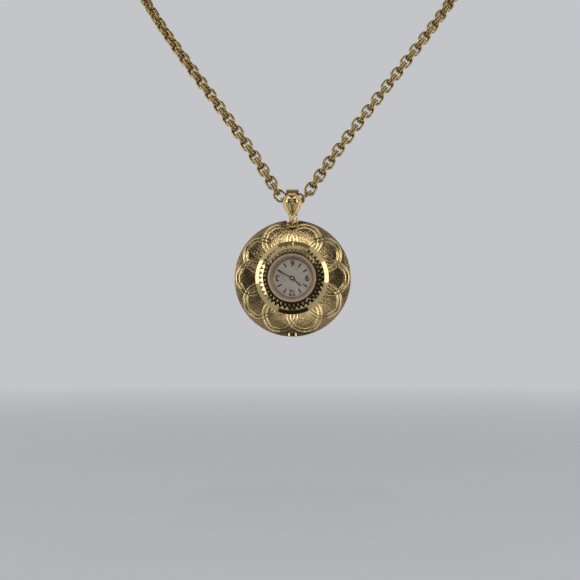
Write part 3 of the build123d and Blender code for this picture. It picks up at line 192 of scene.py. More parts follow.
def relief_material():
    """Gold with polished ridges and hatched satin fields, told apart by the mesh's ridge attribute."""
    mat, tree, shader = new_material("gold_relief")
    shader.inputs["Metallic"].default_value = 1.0
    ridge = add(tree, "ShaderNodeAttribute", attribute_name="ridge").outputs["Fac"]
    field = math(tree, "SUBTRACT", 1.0, ridge, clamp=True)
    grain = noise(tree, (9.0, 9.0, 1.6), 2.0, 0.6, 0.4)
    hatch = []
    for turn in HATCH_TURNS:
        wave = add(tree, "ShaderNodeTexWave", wave_type="BANDS", bands_direction="X")
        wave.inputs["Scale"].default_value = 1.0
        wave.inputs["Distortion"].default_value = HATCH_WAVER
        wave.inputs["Detail"].default_value = 2.0
        wave.inputs["Detail Scale"].default_value = 3.0
        place = add(tree, "ShaderNodeTexCoord")
        mapping = add(tree, "ShaderNodeMapping")
        mapping.inputs["Rotation"].default_value = (0, turn, 0)
        mapping.inputs["Scale"].default_value = [HATCH_SCALE / MM] * 3
        tree.links.new(place.outputs["Object"], mapping.inputs["Vector"])
        tree.links.new(mapping.outputs["Vector"], wave.inputs["Vector"])
        hatch.append(wave.outputs["Fac"])
    cross = math(tree, "MULTIPLY", hatch[0], hatch[1])
    speck = noise(tree, 2.6, 3.0, 0.75)
    mottle = noise(tree, 1.3, 2.0, 0.6)
    by_hatch = math(tree, "MULTIPLY", cross, TONE_BY_HATCH)
    tone = math(tree, "ADD", by_hatch, math(tree, "MULTIPLY", speck, TONE_BY_SPECK))
    worn = math(tree, "MULTIPLY", mottle, WORN_BY_MOTTLE)
    worn = math(tree, "MULTIPLY_ADD", speck, WORN_BY_SPECK, worn)
    worn = math(tree, "MULTIPLY_ADD", cross, WORN_BY_HATCH, worn)
    worn = math(tree, "MULTIPLY_ADD", grain, WORN_BY_GRAIN, worn)
    worn = math(tree, "MULTIPLY", math(tree, "SUBTRACT", worn, WORN_LEVEL), field)
    colour = tint(tree, ramp(tree, tone, *TONE_SPAN, 0, 1), *FIELD_GOLD)
    mixed = add(tree, "ShaderNodeMix", data_type="RGBA")
    tree.links.new(ridge, mixed.inputs["Factor"])
    tree.links.new(colour, mixed.inputs["A"])
    mixed.inputs["B"].default_value = (*RIDGE_GOLD, 1)
    tree.links.new(mixed.outputs["Result"], shader.inputs["Base Color"])
    satin = ramp(tree, noise(tree, 2.0, 3.0, 0.6), *MIDDLE, *FIELD_ROUGH)
    rough = add(tree, "ShaderNodeMix", data_type="FLOAT")
    tree.links.new(ridge, rough.inputs["Factor"])
    tree.links.new(satin, rough.inputs["A"])
    rough.inputs["B"].default_value = RIDGE_ROUGH
    tree.links.new(rough.outputs["Result"], shader.inputs["Roughness"])
    bump(tree, shader, worn, WORN_STRENGTH, WORN_DEPTH)
    return mat


def dial_material():
    """Silvered dial with a fine grain and a slightly uneven tone."""
    mat, tree, shader = new_material("dial_silver")
    shader.inputs["Metallic"].default_value = 0.15
    cloud = ramp(tree, noise(tree, 0.5, 3.0, 0.6), 0.35, 0.65, 0, 1)
    tone = tint(tree, cloud, (0.42, 0.395, 0.34), (0.50, 0.475, 0.415))
    tree.links.new(tone, shader.inputs["Base Color"])
    satin = ramp(tree, noise(tree, 14.0, 2.0), *MIDDLE, 0.42, 0.55)
    tree.links.new(satin, shader.inputs["Roughness"])
    bump(tree, shader, noise(tree, 30.0, 2.0), 0.12, 0.01)
    return mat


def black_material():
    """The black of the hands and the printed marks."""
    mat, tree, shader = new_material("black_lacquer")
    shader.inputs["Specular IOR Level"].default_value = 0.4
    tone = tint(tree, noise(tree, 6.0, 2.0), (0.008, 0.008, 0.008), (0.02, 0.018, 0.015))
    tree.links.new(tone, shader.inputs["Base Color"])
    gloss = ramp(tree, noise(tree, 20.0, 2.0), *MIDDLE, 0.25, 0.4)
    tree.links.new(gloss, shader.inputs["Roughness"])
    return mat


def crystal_material():
    """Acrylic crystal with a faint warm tint and a few hairline scratches."""
    mat, tree, shader = new_material("crystal_acrylic")
    shader.inputs["Transmission Weight"].default_value = 1.0
    shader.inputs["IOR"].default_value = 1.38
    shader.inputs["Base Color"].default_value = (0.97, 0.93, 0.90, 1)
    wear = ramp(tree, noise(tree, 4.0, 3.0), 0.4, 0.8, 0.0, 0.03)
    tree.links.new(wear, shader.inputs["Roughness"])
    lines = ramp(tree, noise(tree, (20.0, 1.0, 1.0), 2.0, 0.5, 0.5), 0.66, 0.72, 0, 1)
    bump(tree, shader, lines, 0.03, 0.001)
    return mat


def ruby_material():
    """The red of the movement's jewels."""
    mat, tree, shader = new_material("ruby")
    shader.inputs["Transmission Weight"].default_value = 0.5
    shader.inputs["IOR"].default_value = 1.76
    tone = tint(tree, noise(tree, 5.0, 2.0), (0.42, 0.01, 0.06), (0.65, 0.03, 0.12))
    tree.links.new(tone, shader.inputs["Base Color"])
    shader.inputs["Roughness"].default_value = 0.08
    return mat


relief = relief_material()
dial_silver = dial_material()
black = black_material()
crystal = crystal_material()
ruby = ruby_material()


# Building pieces
SAME_POINT = 1e-7


def mesh_piece(name, verts, faces, materials, body, attributes=None, sharp=None):
    """A new piece from row-frame points in metres, riding on a body and shaded smooth up to an angle."""
    mesh = bpy.data.meshes.new(name)
    mesh.from_pydata([tuple(v) for v in verts], [], [tuple(f) for f in faces])
    for material in materials:
        mesh.materials.append(material)
    mesh.polygons.foreach_set("use_smooth", [True] * len(mesh.polygons))
    for key, values in (attributes or {}).items():
        layer = mesh.attributes.new(key, "FLOAT", "POINT")
        layer.data.foreach_set("value", np.asarray(values, np.float32))
    if sharp is not None:
        mesh.set_sharp_from_angle(angle=radians(sharp))
    mesh.update()
    piece = bpy.data.objects.new(name, mesh)
    bpy.context.scene.collection.objects.link(piece)
    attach(piece, body)
    return piece


def node_body(node):
    """The body that a CAD node moves with."""
    bodies = frame["record"]["behaviour"]["bodies"]
    return next(body for body, nodes in bodies.items() if node in nodes)


def cad_copy(node):
    """A CAD node's vertices and faces, with doubled vertices joined."""
    work = bmesh.new()
    work.from_mesh(frame["nodes"][node].data)
    bmesh.ops.remove_doubles(work, verts=work.verts, dist=SAME_POINT)
    work.verts.ensure_lookup_table()
    verts = np.array([v.co for v in work.verts])
    faces = [[v.index for v in f.verts] for f in work.faces]
    work.free()
    return verts, faces


def smoothed(node, name, material, sharp):
    """A piece of a CAD node's own shape, shaded smooth up to an angle."""
    verts, faces = cad_copy(node)
    piece = mesh_piece(name, verts, faces, [material], node_body(node), sharp=sharp)
    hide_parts(node)
    return piece


def grid_faces(rows, columns, closed):
    """Quads of a grid of rows by columns, its columns joined round if closed."""
    last = columns if closed else columns - 1
    r, c = np.meshgrid(np.arange(rows - 1), np.arange(last), indexing="ij")
    a = r * columns + c
    b = r * columns + (c + 1) % columns
    return np.stack([a, b, b + columns, a + columns], -1).reshape(-1, 4)


# Case front: the rosette's relief on the dome
CASE_R, RIM_FRONT = 16.0, 0.35
SEAT_R, SEAT_Z, DOME_BULGE = 9.6, 2.1, 0.3
RINGS, RING_AT, RING_RADII = 10, 10.6, (4.73, 3.83)
RIDGE_HALF, RIDGE_HIGH, RIDGE_FADE = 0.3, 0.19, 0.25
RIDGE_EDGE, WEDGE_EDGE = 3, 4
NOTCH_AT, NOTCH_R = 15.6, 1.6
WEDGE_FOOT, WEDGE_SLOPE, WEDGE_HALF = 12.5, 1.25, 1.5
POCKET_R, POCKET_Y = 2.1, -14.93
SKIN_IN_R, SKIN_ROWS, SKIN_COLUMNS = 9.72, 128, 2160
ON_DOME, ON_SEAT, ON_RIM = 0.006, 0.01, 0.002


def circle_through(a, b, c):
    """Centre and radius of the circle through three points."""
    (ax, ay), (bx, by), (cx, cy) = a, b, c
    d = 2 * (ax * (by - cy) + bx * (cy - ay) + cx * (ay - by))
    sa, sb, sc = ax ** 2 + ay ** 2, bx ** 2 + by ** 2, cx ** 2 + cy ** 2
    ux = (sa * (by - cy) + sb * (cy - ay) + sc * (ay - by)) / d
    uy = (sa * (cx - bx) + sb * (ax - cx) + sc * (bx - ax)) / d
    return ux, uy, hypot(ax - ux, ay - uy)


DOME = circle_through(
    (CASE_R, RIM_FRONT),
    ((CASE_R + SEAT_R) / 2, (RIM_FRONT + SEAT_Z) / 2 + DOME_BULGE),
    (SEAT_R, SEAT_Z),
)


def dome_z(r):
    """The dome's height at a radius, without its relief."""
    return DOME[1] + np.sqrt(np.maximum(DOME[2] ** 2 - (r - DOME[0]) ** 2, 0))


def relief_height(x, y):
    """How far the ridges stand above the dome, and how much a point is ridge."""
    high = np.zeros_like(x)
    for i in range(RINGS):
        turn = 2 * pi * i / RINGS
        away = np.hypot(x - RING_AT * cos(turn), y - RING_AT * sin(turn))
        for radius in RING_RADII:
            t = np.abs(away - radius) / RIDGE_HALF
            high = np.maximum(high, np.clip(1 - t ** 3, 0, 1))
    high = high * (1 - polished_wedge(x, y))
    return RIDGE_HIGH * high, np.clip(high * RIDGE_EDGE, 0, 1)


def polished_wedge(x, y):
    """The small polished wedge under the notch."""
    above = y - WEDGE_FOOT - np.abs(x) * WEDGE_SLOPE
    return np.clip(above * WEDGE_EDGE, 0, 1) * (np.abs(x) < WEDGE_HALF)


def build_case_front():
    """A fine skin with the relief over the dome, joined to the rest of the case front's own shape."""
    radius = np.linspace(SKIN_IN_R, CASE_R, SKIN_ROWS)
    turn = np.linspace(0, 2 * pi, SKIN_COLUMNS, endpoint=False)
    r, a = np.meshgrid(radius, turn, indexing="ij")
    x, y = (r * np.cos(a)).ravel(), (r * np.sin(a)).ravel()
    gap_x, gap_y = x.copy(), y - NOTCH_AT
    away = np.hypot(gap_x, gap_y)
    in_notch = away < NOTCH_R
    z = dome_z(np.hypot(x, y))
    in_pocket = (y < POCKET_Y) & (x ** 2 + (z - HANG_DEPTH) ** 2 < POCKET_R ** 2)
    gone = in_notch | in_pocket
    push = NOTCH_R / np.maximum(away, 1e-6)
    x = np.where(in_notch, gap_x * push, x)
    y = np.where(in_notch, NOTCH_AT + gap_y * push, y)
    half = np.sqrt(np.maximum(POCKET_R ** 2 - (z - HANG_DEPTH) ** 2, 0))
    near_floor = in_pocket & (POCKET_Y - y < half - np.abs(x))
    x = np.where(in_pocket & ~near_floor, np.sign(x) * half, x)
    y = np.where(near_floor, POCKET_Y, y)
    r_now = np.hypot(x, y)
    over = r_now > CASE_R
    x, y = np.where(over, x * CASE_R / r_now, x), np.where(over, y * CASE_R / r_now, y)
    high, ridge = relief_height(x, y)
    fade = np.clip((CASE_R - np.hypot(x, y)) / RIDGE_FADE, 0, 1)
    z = dome_z(np.minimum(np.hypot(x, y), CASE_R)) + high * fade
    faces = grid_faces(SKIN_ROWS, SKIN_COLUMNS, True)
    faces = faces[~gone[faces].all(1)]
    skin = row(np.stack([x, y, z], 1))
    verts, cad_faces = cad_copy("case_front")
    w = watch(verts)
    wr = np.hypot(w[:, 0], w[:, 1])
    on_dome = w[:, 2] > dome_z(np.minimum(wr, CASE_R)) - ON_DOME
    top = on_dome & (wr > SEAT_R + ON_SEAT) & (wr < CASE_R - ON_RIM)
    edge = on_dome & (wr >= SEAT_R - ON_SEAT)
    kept = [f for f in cad_faces if not (all(edge[i] for i in f) and any(top[i] for i in f))]
    both = np.concatenate([skin, verts])
    shell = [[i + len(skin) for i in f] for f in kept]
    every = [list(f) for f in faces] + shell
    mask = np.concatenate([np.maximum(ridge, polished_wedge(x, y)), np.zeros(len(verts))])
    piece = mesh_piece(
        "case_front_relief", both, every, [relief, gold], "case", attributes={"ridge": mask}, sharp=50
    )
    slots = np.zeros(len(every), np.int32)
    slots[len(faces):] = 1
    piece.data.polygons.foreach_set("material_index", slots)
    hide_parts("case_front")


# Chain: each ring drawn finely where its plain solid is
WIRE, LINK_WIDTH = 0.65, 3.3


def ring_mesh(length, around=40, across=12):
    """A stadium-shaped ring of round wire along x, in millimetres."""
    end_r = (LINK_WIDTH - WIRE) / 2
    half = (length - WIRE) / 2 - end_r
    centres, normals = [], []
    for side, start in ((1, -pi / 2), (-1, pi / 2)):
        for i in range(around // 2):
            a = start + pi * i / (around // 2 - 1)
            centres.append((side * half + end_r * cos(a), end_r * sin(a), 0))
            normals.append((cos(a), sin(a), 0))
    centres, normals = np.array(centres), np.array(normals)
    verts = []
    for j in range(across):
        b = 2 * pi * j / across
        verts.append(centres + WIRE / 2 * (cos(b) * normals + sin(b) * np.array([0, 0, 1])))
    points = np.stack(verts, 1).reshape(-1, 3)
    n = len(centres)
    faces = []
    for i in range(n):
        for j in range(across):
            k, m = (i + 1) % n, (j + 1) % across
            faces.append((i * across + j, k * across + j, k * across + m, i * across + m))
    return points, np.array(faces)


def islands(count, faces):
    """The connected groups of a mesh's vertices."""
    parent = np.arange(count)

    def find(i):
        while parent[i] != i:
            parent[i] = parent[parent[i]]
            i = parent[i]
        return i

    for f in faces:
        a = find(f[0])
        for i in f[1:]:
            b = find(i)
            if a != b:
                parent[b] = a
    roots = np.array([find(i) for i in range(count)])
    return [np.nonzero(roots == r)[0] for r in np.unique(roots)]


def build_chain():
    """Every ring drawn again, at the place and turn of its own solid."""
    for node in ("chain_front_left", "chain_front_right", "chain_back_left", "chain_back_right"):
        verts, faces = cad_copy(node)
        every, quads, made = [], [], 0
        for group in islands(len(verts), faces):
            p = verts[group] / MM
            low = p.mean(0)
            spread = np.linalg.eigh(np.cov((p - low).T))[1]
            along, side = spread[:, 2], spread[:, 1]
            if along[np.argmax(np.abs(along))] < 0:
                along = -along
            normal = np.cross(along, side)
            axes = np.stack([along, side, normal])
            flat = (p - low) @ axes.T
            centre = low + axes.T @ ((flat.max(0) + flat.min(0)) / 2)
            points, ring_faces = ring_mesh(flat[:, 0].max() - flat[:, 0].min())
            every.append((points @ axes + centre) * MM)
            quads.append(ring_faces + made)
            made += len(points)
        name = node.replace("chain", "links")
        piece = mesh_piece(name, np.concatenate(every), np.concatenate(quads), [chain_gold_painted_shade], "chain")
        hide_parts(node)


# Bail shield: rim, beads and dome on the strap's slanted front
DROP = dict(half=2.6, top_at=23.3, top_half=1.0, tip_at=15.9)
BUTTON = dict(half=1.9, top_at=22.9, top_half=0.95, tip_at=16.9)
DROP_WIDE_AT, CHEEK_SHARE, WAIST_SHARE, TIP_INSET_SHARE = 21.3, 0.65, 0.58, 1.8
CURVE_POINTS, TOP_POINTS = 400, 10
DROP_THICK, DROP_SINK = 0.45, 0.14
DROP_FLOOR = DROP_THICK - DROP_SINK
RIM_STEPS = (
    (0.05, 0.0), (0.0, 0.06), (0.0, 0.32), (0.05, 0.42),
    (0.12, DROP_THICK), (0.2, 0.44), (0.26, 0.38), (0.3, DROP_FLOOR),
)
BUTTON_HIGH, BUTTON_STEP, BUTTON_SINK = 1.5, 0.06, 0.02
BUTTON_SPINE, BUTTON_LOOPS, BUTTON_POINTS = (17.2, 21.4), 17, 72
NARROW_SHARE, TOP_SHARE = 0.3, 0.02
BEAD_R, BEAD_PITCH, BEAD_INSET, BEAD_LIFT = 0.2, 0.43, 0.52, 0.02
BEAD_RINGS, BEAD_SIDES, TRACK_POINTS = 7, 12, 400
BAIL_IN_R, BAIL_WALL, BAIL_FOOT_IN_R, BAIL_FOOT_AT = 2.15, 0.55, 1.2, 18.7


def spline(points, count):
    """A smooth curve through points, spaced evenly along it."""
    p = np.array(points, float)
    t = travelled(p)
    n = len(t)
    h = np.diff(t)
    system, right = np.zeros((n, n)), np.zeros((n, 2))
    system[0, 0] = system[-1, -1] = 1
    for i in range(1, n - 1):
        system[i, i - 1:i + 2] = h[i - 1], 2 * (h[i - 1] + h[i]), h[i]
        right[i] = 6 * ((p[i + 1] - p[i]) / h[i] - (p[i] - p[i - 1]) / h[i - 1])
    m = np.linalg.solve(system, right)
    s = np.linspace(0, t[-1], CURVE_POINTS)
    k = np.clip(np.searchsorted(t, s, side="right") - 1, 0, n - 2)
    u, w = (t[k + 1] - s)[:, None], (s - t[k])[:, None]
    hk = h[k][:, None]
    curve = m[k] * u ** 3 / (6 * hk) + m[k + 1] * w ** 3 / (6 * hk)
    curve += (p[k] / hk - m[k] * hk / 6) * u + (p[k + 1] / hk - m[k + 1] * hk / 6) * w
    run = travelled(curve)
    even = np.linspace(0, run[-1], count)
    return np.stack([np.interp(even, run, curve[:, 0]), np.interp(even, run, curve[:, 1])], 1)


def drop_outline(size, inset, count=64):
    """The closed outline of a teardrop, inset from its full size, counter-clockwise from the tip."""
    wide, cheek_at = size["half"], DROP_WIDE_AT + (size["tip_at"] - DROP_WIDE_AT) * WAIST_SHARE
    right = spline([
        (0, size["tip_at"] + inset * TIP_INSET_SHARE),
        (wide * CHEEK_SHARE - inset, cheek_at),
        (wide - inset, DROP_WIDE_AT),
        (size["top_half"] - inset, size["top_at"] - inset),
    ], count)
    top = np.linspace(right[-1], right[-1] * (-1, 1), TOP_POINTS)[1:-1]
    left = right[::-1] * (-1, 1)
    return np.concatenate([right, top, left[:-1]])


def bail_frame():
    """The lean of the strap's front face, and the point where it leaves the strap's upper bend."""
    lean = asin((BAIL_IN_R - BAIL_FOOT_IN_R) / (BAIL_AXIS - BAIL_FOOT_AT))
    outer = BAIL_IN_R + BAIL_WALL
    return lean, BAIL_AXIS - outer * sin(lean), HANG_DEPTH + outer * cos(lean)


def on_bail(points, high):
    """Points (x, y before the lean) at heights over the strap's front face, as row-frame metres."""
    lean, y0, z0 = bail_frame()
    p = np.asarray(points, float)
    run = p[:, 1] - y0
    high = np.broadcast_to(high, len(p))
    y = y0 + run * cos(lean) - high * sin(lean)
    z = z0 + run * sin(lean) + high * cos(lean)
    return row(np.stack([p[:, 0], y, z], 1))


def lofted(name, loops, material, body, sharp, cap=True):
    """A surface through loops of equal length, its first and last loops filled if capped."""
    columns = len(loops[0])
    verts = np.concatenate(loops)
    faces = [list(f) for f in grid_faces(len(loops), columns, True)]
    if cap:
        faces.append([(len(loops) - 1) * columns + i for i in range(columns)])
        faces.append([columns - 1 - i for i in range(columns)])
    return mesh_piece(name, verts, faces, [material], body, sharp=sharp)


def travelled(points):
    """How far along a line each of its points is."""
    return np.concatenate([[0], np.cumsum(np.hypot(*np.diff(points, axis=0).T))])


def build_shield():
    """The shield with its rounded rim."""
    loops = [on_bail(drop_outline(DROP, inset), high) for inset, high in RIM_STEPS]
    shield = lofted("bail_shield", loops, gold, "bail", 40)
    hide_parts("bail_drop")


def build_button():
    """The dome: loops that close in on its spine, lower where it is narrow."""
    outline = drop_outline(BUTTON, 0, BUTTON_POINTS)
    spine = np.stack([np.zeros(len(outline)), np.clip(outline[:, 1], *BUTTON_SPINE)], 1)
    width = np.hypot(*(outline - spine).T) / BUTTON["half"]
    rise = BUTTON_HIGH * np.clip(width, NARROW_SHARE, 1) - BUTTON_STEP
    loops = [on_bail(outline, DROP_FLOOR - BUTTON_SINK)]
    for i in range(BUTTON_LOOPS):
        share = cos(i / (BUTTON_LOOPS - 1) * pi / 2)
        high = DROP_FLOOR + BUTTON_STEP + rise * sqrt(1 - share ** 2)
        loops.append(on_bail(spine + (outline - spine) * max(share, TOP_SHARE), high))
    dome = lofted("bail_button", loops, gold, "bail", 60)
    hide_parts("bail_dome")


def build_beads():
    """A row of small round beads along the shield's rim."""
    track = drop_outline(DROP, BEAD_INSET, TRACK_POINTS)
    run = travelled(track)
    count = int(run[-1] / BEAD_PITCH)
    at = np.arange(count) * run[-1] / count
    spots = np.stack([np.interp(at, run, track[:, k]) for k in (0, 1)], 1)
    verts, faces = [], []
    for centre in on_bail(spots, DROP_FLOOR + BEAD_LIFT):
        start = len(verts)
        for i in range(BEAD_RINGS):
            tilt = pi * i / (BEAD_RINGS - 1)
            for j in range(BEAD_SIDES):
                turn = 2 * pi * j / BEAD_SIDES
                offset = (sin(tilt) * cos(turn), cos(tilt), sin(tilt) * sin(turn))
                verts.append(centre + BEAD_R * MM * np.array(offset))
        faces += [[start + k for k in f] for f in grid_faces(BEAD_RINGS, BEAD_SIDES, True)]
    mesh_piece("bail_beads", verts, faces, [gold], "bail")


# Dial side
MARK_GROWTH, SIDE_FACING = 0.05, 0.2
GASKET = [(6.585, 2.4), (6.785, 2.4), (6.785, 2.86), (6.74, 2.94), (6.63, 2.94), (6.585, 2.86)]
DIAL_EDGE = [(5.12, 0.9), (5.22, 0.88), (5.33, 1.12), (5.29, 1.2), (5.2, 1.14)]
BAND_SIDES = 160


def build_marks():
    """The dial's marks, a little bolder than their plain solids."""
    verts, faces = cad_copy("dial_marks")
    work = bpy.data.meshes.new("marks_work")
    work.from_pydata([tuple(v) for v in verts], [], faces)
    normals = np.array([v.normal for v in work.vertices]) * (1, 0, 1)
    long = np.linalg.norm(normals, axis=1, keepdims=True)
    verts = verts + normals / np.maximum(long, 1e-6) * (long > SIDE_FACING) * MARK_GROWTH * MM
    bpy.data.meshes.remove(work)
    piece = mesh_piece("printed_marks", verts, faces, [black], "case", sharp=30)
    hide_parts("dial_marks")


def band(name, profile, material):
    """A thin turned ring on the case, from its profile of radius and height."""
    turns = np.linspace(0, 2 * pi, BAND_SIDES, endpoint=False)
    loops = [row([(r * cos(a), r * sin(a), z) for a in turns]) for r, z in profile + profile[:1]]
    lofted(name, loops, material, "case", 30, cap=False)


build_case_front()
build_chain()
build_shield()
build_button()
build_beads()
build_marks()
band("crystal_gasket", GASKET, gasket)
band("dial_edge", DIAL_EDGE, brown_gold)
for node, name, material, sharp in (
    ("bezel_ring", "bezel", gold, 12),
    ("case_back", "case_back_shell", gold_back, 25),
    ("case_tube", "stem_tube", gold, 30),
    ("crystal", "crystal_dome", crystal, 40),
    ("dial_ring", "dial_reflector", rosy, 30),
    ("dial", "dial_plate", dial_silver, 30),
    ("crown", "crown_knob", gold, 30),
    ("hanger_eye", "hanger", gold, 40),
    ("jump_ring", "jump_ring_wire", gold, 60),
    ("bail_loop", "bail_strap", gold, 30),
    ("clasp_body", "clasp_shell", gold, 40),
    ("clasp_gate", "clasp_tongue", gold, 40),
    ("end_ring", "end_ring_wire", gold, 60),
    ("hour_wheel", "hour_pipe", brass, 30),
    ("cannon_pinion", "cannon", brass, 30),
):
    piece = smoothed(node, name, material, sharp)
    # The crystal is clear, so it casts no shadow on the dial
    piece.visible_shadow = node != "crystal"

# CAD nodes shown as they are. Those not named here are steel.
DRESSED = (
    (black, ("hour_hand", "minute_hand")),
    (nickel, ("movement_holder", "main_plate", "barrel_bridge", "train_bridge", "balance_cock")),
    (brass, ("minute_wheel", "centre_wheel", "third_wheel", "fourth_wheel", "barrel", "balance_wheel")),
    (ruby, ("jewels",)),
)
finish_of = {node: material for material, nodes in DRESSED for node in nodes}
for node, piece in frame["nodes"].items():
    piece.data.materials.clear()
    piece.data.materials.append(finish_of.get(node, steel))


# Studio
BACKGROUND, BACKGROUND_LEVEL, WORLD_LEVEL = (0.95, 0.96, 1.0), 0.58, 0.42
FLOOR_AT, FLOOR_FAR, FLOOR_PALE = -0.2, 12.0, (0.66, 0.67, 0.69)
# From the first distance to the second, the background's share of the floor goes from third to fourth
FLOOR_BLEND = (0.12, 0.75, 0.4, 1.0)
WARM_WHITE = (1, 0.98, 0.95)
WATCH_MIDDLE = tuple(row([(0, 0, 0)])[0])
CARD_ROWS, CARD_COLUMNS, CARD_REACH, CARD_LIFT = 12, 24, (0.8, 0.8), 0.002
PIXEL, PICTURE, SENSOR = 0.2735 * MM, 580, 36
CAMERA_AWAY, CAMERA_TURN, CAMERA_RISE = 0.3, 3.6, -3.6
AIM_RIGHT, AIM_UP, AIM_FRONT = -2.2, -12.0, 1.5


def stage_mesh(name, verts, faces, material):
    mesh = bpy.data.meshes.new(name)
    mesh.from_pydata(verts, [], faces)
    mesh.materials.append(material)
    piece = bpy.data.objects.new(name, mesh)
    bpy.context.scene.collection.objects.link(piece)
    return piece


def build_floor():
    """A pale floor that turns into the pale background further out."""
    mat, tree, shader = new_material("floor_pale")
    shader.inputs["Roughness"].default_value = 0.9
    shader.inputs["Base Color"].default_value = (*FLOOR_PALE, 1)
    place = add(tree, "ShaderNodeTexCoord")
    length = add(tree, "ShaderNodeVectorMath", operation="LENGTH")
    tree.links.new(place.outputs["Object"], length.inputs[0])
    far_share = ramp(tree, length.outputs["Value"], *FLOOR_BLEND)
    glow = add(tree, "ShaderNodeEmission")
    glow.inputs["Color"].default_value = (*BACKGROUND, 1)
    glow.inputs["Strength"].default_value = BACKGROUND_LEVEL
    blend = add(tree, "ShaderNodeMixShader")
    tree.links.new(far_share, blend.inputs["Fac"])
    tree.links.new(shader.outputs["BSDF"], blend.inputs[1])
    tree.links.new(glow.outputs["Emission"], blend.inputs[2])
    tree.links.new(blend.outputs["Shader"], tree.nodes["Material Output"].inputs["Surface"])
    signs = ((-1, -1), (1, -1), (1, 1), (-1, 1))
    corners = [(i * FLOOR_FAR, j * FLOOR_FAR, FLOOR_AT) for i, j in signs]
    stage_mesh("floor", corners, [(0, 1, 2, 3)], mat)


def card_material(name, base, glow):
    """A matt colour, with its own glow in the reflections."""
    mat, tree, shader = new_material(name)
    shader.inputs["Base Color"].default_value = (*base, 1)
    shader.inputs["Roughness"].default_value = 1.0
    shader.inputs["Emission Color"].default_value = (*WARM_WHITE, 1)
    shader.inputs["Emission Strength"].default_value = glow
    return mat


def card(name, turns, heights, radius, material, lift=CARD_LIFT):
    """A card round the watch, on a sphere or flat on the floor, for the polished metal to reflect."""
    ends = (0, CARD_ROWS - 1)
    verts = []
    for i in range(CARD_ROWS):
        rise, reach = (np.interp(i, ends, values) for values in (np.radians(heights), radius))
        for turn in np.linspace(*np.radians(turns), CARD_COLUMNS):
            away = (sin(turn) * cos(rise), -cos(turn) * cos(rise), sin(rise))
            place = WATCH_MIDDLE + reach * np.array(away)
            if heights[0] == heights[1]:
                place[2] = FLOOR_AT + lift
            verts.append(tuple(place))
    quads = [tuple(f) for f in grid_faces(CARD_ROWS, CARD_COLUMNS, False)]
    sheet = stage_mesh(name, verts, quads, material)
    for ray in ("camera", "shadow", "diffuse", "transmission"):
        setattr(sheet, "visible_" + ray, False)
    return sheet


def area(name, place, size, power, colour=(1, 1, 1)):
    """A rectangular lamp that faces the watch and isn't seen itself."""
    light = bpy.data.lights.new(name, "AREA")
    light.shape = "RECTANGLE"
    light.size, light.size_y = size
    light.energy = power
    light.color = colour
    lamp = bpy.data.objects.new(name, light)
    lamp.location = place
    toward = Vector(WATCH_MIDDLE) - Vector(place)
    lamp.rotation_euler = toward.to_track_quat("-Z", "Y").to_euler()
    lamp.visible_camera = False
    bpy.context.scene.collection.objects.link(lamp)
    return lamp


def link_light(source, state, *names):
    """Keep a lamp's or a card's light off some pieces with EXCLUDE, or on them alone with INCLUDE."""
    linked = bpy.data.collections.new("linked_to_" + source.name)
    source.light_linking.receiver_collection = linked
    for name in names:
        linked.objects.link(bpy.data.objects[name])
    for entry in linked.collection_objects:
        entry.light_linking.link_state = state


def build_world():
    """Soft light from all round, and the pale background that the camera and reflections see."""
    world = bpy.data.worlds.new("studio")
    bpy.context.scene.world = world
    world.use_nodes = True
    tree = world.node_tree
    back = tree.nodes["Background"]
    back.inputs["Color"].default_value = (*BACKGROUND, 1)
    path = add(tree, "ShaderNodeLightPath")
    seen = math(tree, "ADD", path.outputs["Is Camera Ray"], path.outputs["Is Glossy Ray"])
    seen = math(tree, "ADD", seen, path.outputs["Is Transmission Ray"], clamp=True)
    level = ramp(tree, seen, 0, 1, WORLD_LEVEL, BACKGROUND_LEVEL)
    tree.links.new(level, back.inputs["Strength"])


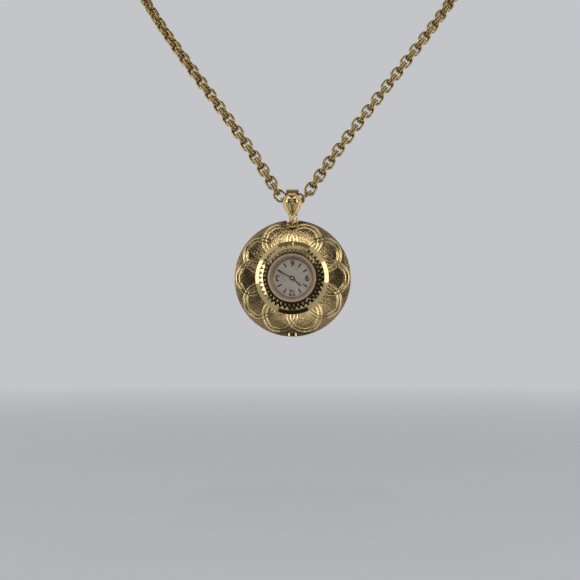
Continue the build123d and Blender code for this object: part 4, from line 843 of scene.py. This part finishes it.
def build_camera():
    """The photograph's view: its scale at the watch, and the watch's place in the picture."""
    middle = Vector(row([(0, 0, AIM_FRONT)])[0])
    azimuth, elevation = radians(CAMERA_TURN), radians(CAMERA_RISE)
    toward = Vector((sin(azimuth) * cos(elevation), -cos(azimuth) * cos(elevation), sin(elevation)))
    place = middle + CAMERA_AWAY * toward
    camera = bpy.data.cameras.new("camera")
    camera.sensor_width = SENSOR
    camera.lens = SENSOR * CAMERA_AWAY / (PICTURE * PIXEL)
    camera.clip_start = 0.01
    lens = bpy.data.objects.new("camera", camera)
    turn = (-toward).to_track_quat("-Z", "Y").to_matrix()
    aim = middle + turn @ Vector((AIM_RIGHT * PIXEL, AIM_UP * PIXEL, 0))
    lens.rotation_euler = (aim - place).to_track_quat("-Z", "Y").to_euler()
    lens.location = place
    bpy.context.scene.collection.objects.link(lens)
    bpy.context.scene.camera = lens


build_floor()
dark = card_material("dark_card", (0.02, 0.017, 0.014), 0.0)
grey = card_material("grey_card", (0.1, 0.1, 0.1), 0.09)
white = card_material("white_card", (0.8, 0.8, 0.8), 1.6)
card("front_card", (-52, 52), (-4, 34), CARD_REACH, dark)
card("upper_card", (-30, 30), (34, 64), CARD_REACH, dark)
card("sky_card", (-180, 180), (64, 90), CARD_REACH, grey)
card("far_card", (-60, 60), (0, 0), (0.2, 0.8), dark)
card("near_card", (-28, 28), (0, 0), (0.03, 0.2), grey)
card("under_card", (-180, 180), (0, 0), (0.0, 0.03), dark)
bounce = card("bounce_card", (-12, 22), (0, 0), (0.12, 0.26), white, 2 * CARD_LIFT)
build_world()
key = area("key_top", (-0.01, -0.54, 0.036), (0.2, 0.1), 0.26, WARM_WHITE)
for name, place, size, power, spared in (
    ("strip_left", (-0.56, -0.36, -0.08), (0.08, 0.3), 0.24, ("floor", "bezel")),
    ("strip_right", (0.53, -0.38, -0.08), (0.08, 0.3), 0.24, ("floor", "bezel")),
    ("side_left", (-0.6, -0.13, 0.0), (0.2, 0.4), 0.4, ("floor",)),
    ("side_right", (0.6, -0.17, 0.0), (0.16, 0.4), 0.3, ("floor",)),
):
    link_light(area(name, place, size, power), "EXCLUDE", *spared)
link_light(key, "EXCLUDE", "crystal_dome", "bezel")
link_light(bounce, "EXCLUDE", "crystal_dome", "bail_button", "bezel")
facet = area("facet_lamp", (0.17, -0.59, -0.141), (0.1, 0.3), 0.3)
link_light(facet, "INCLUDE", "bezel")
build_camera()
bpy.context.scene.view_settings.view_transform = "Standard"
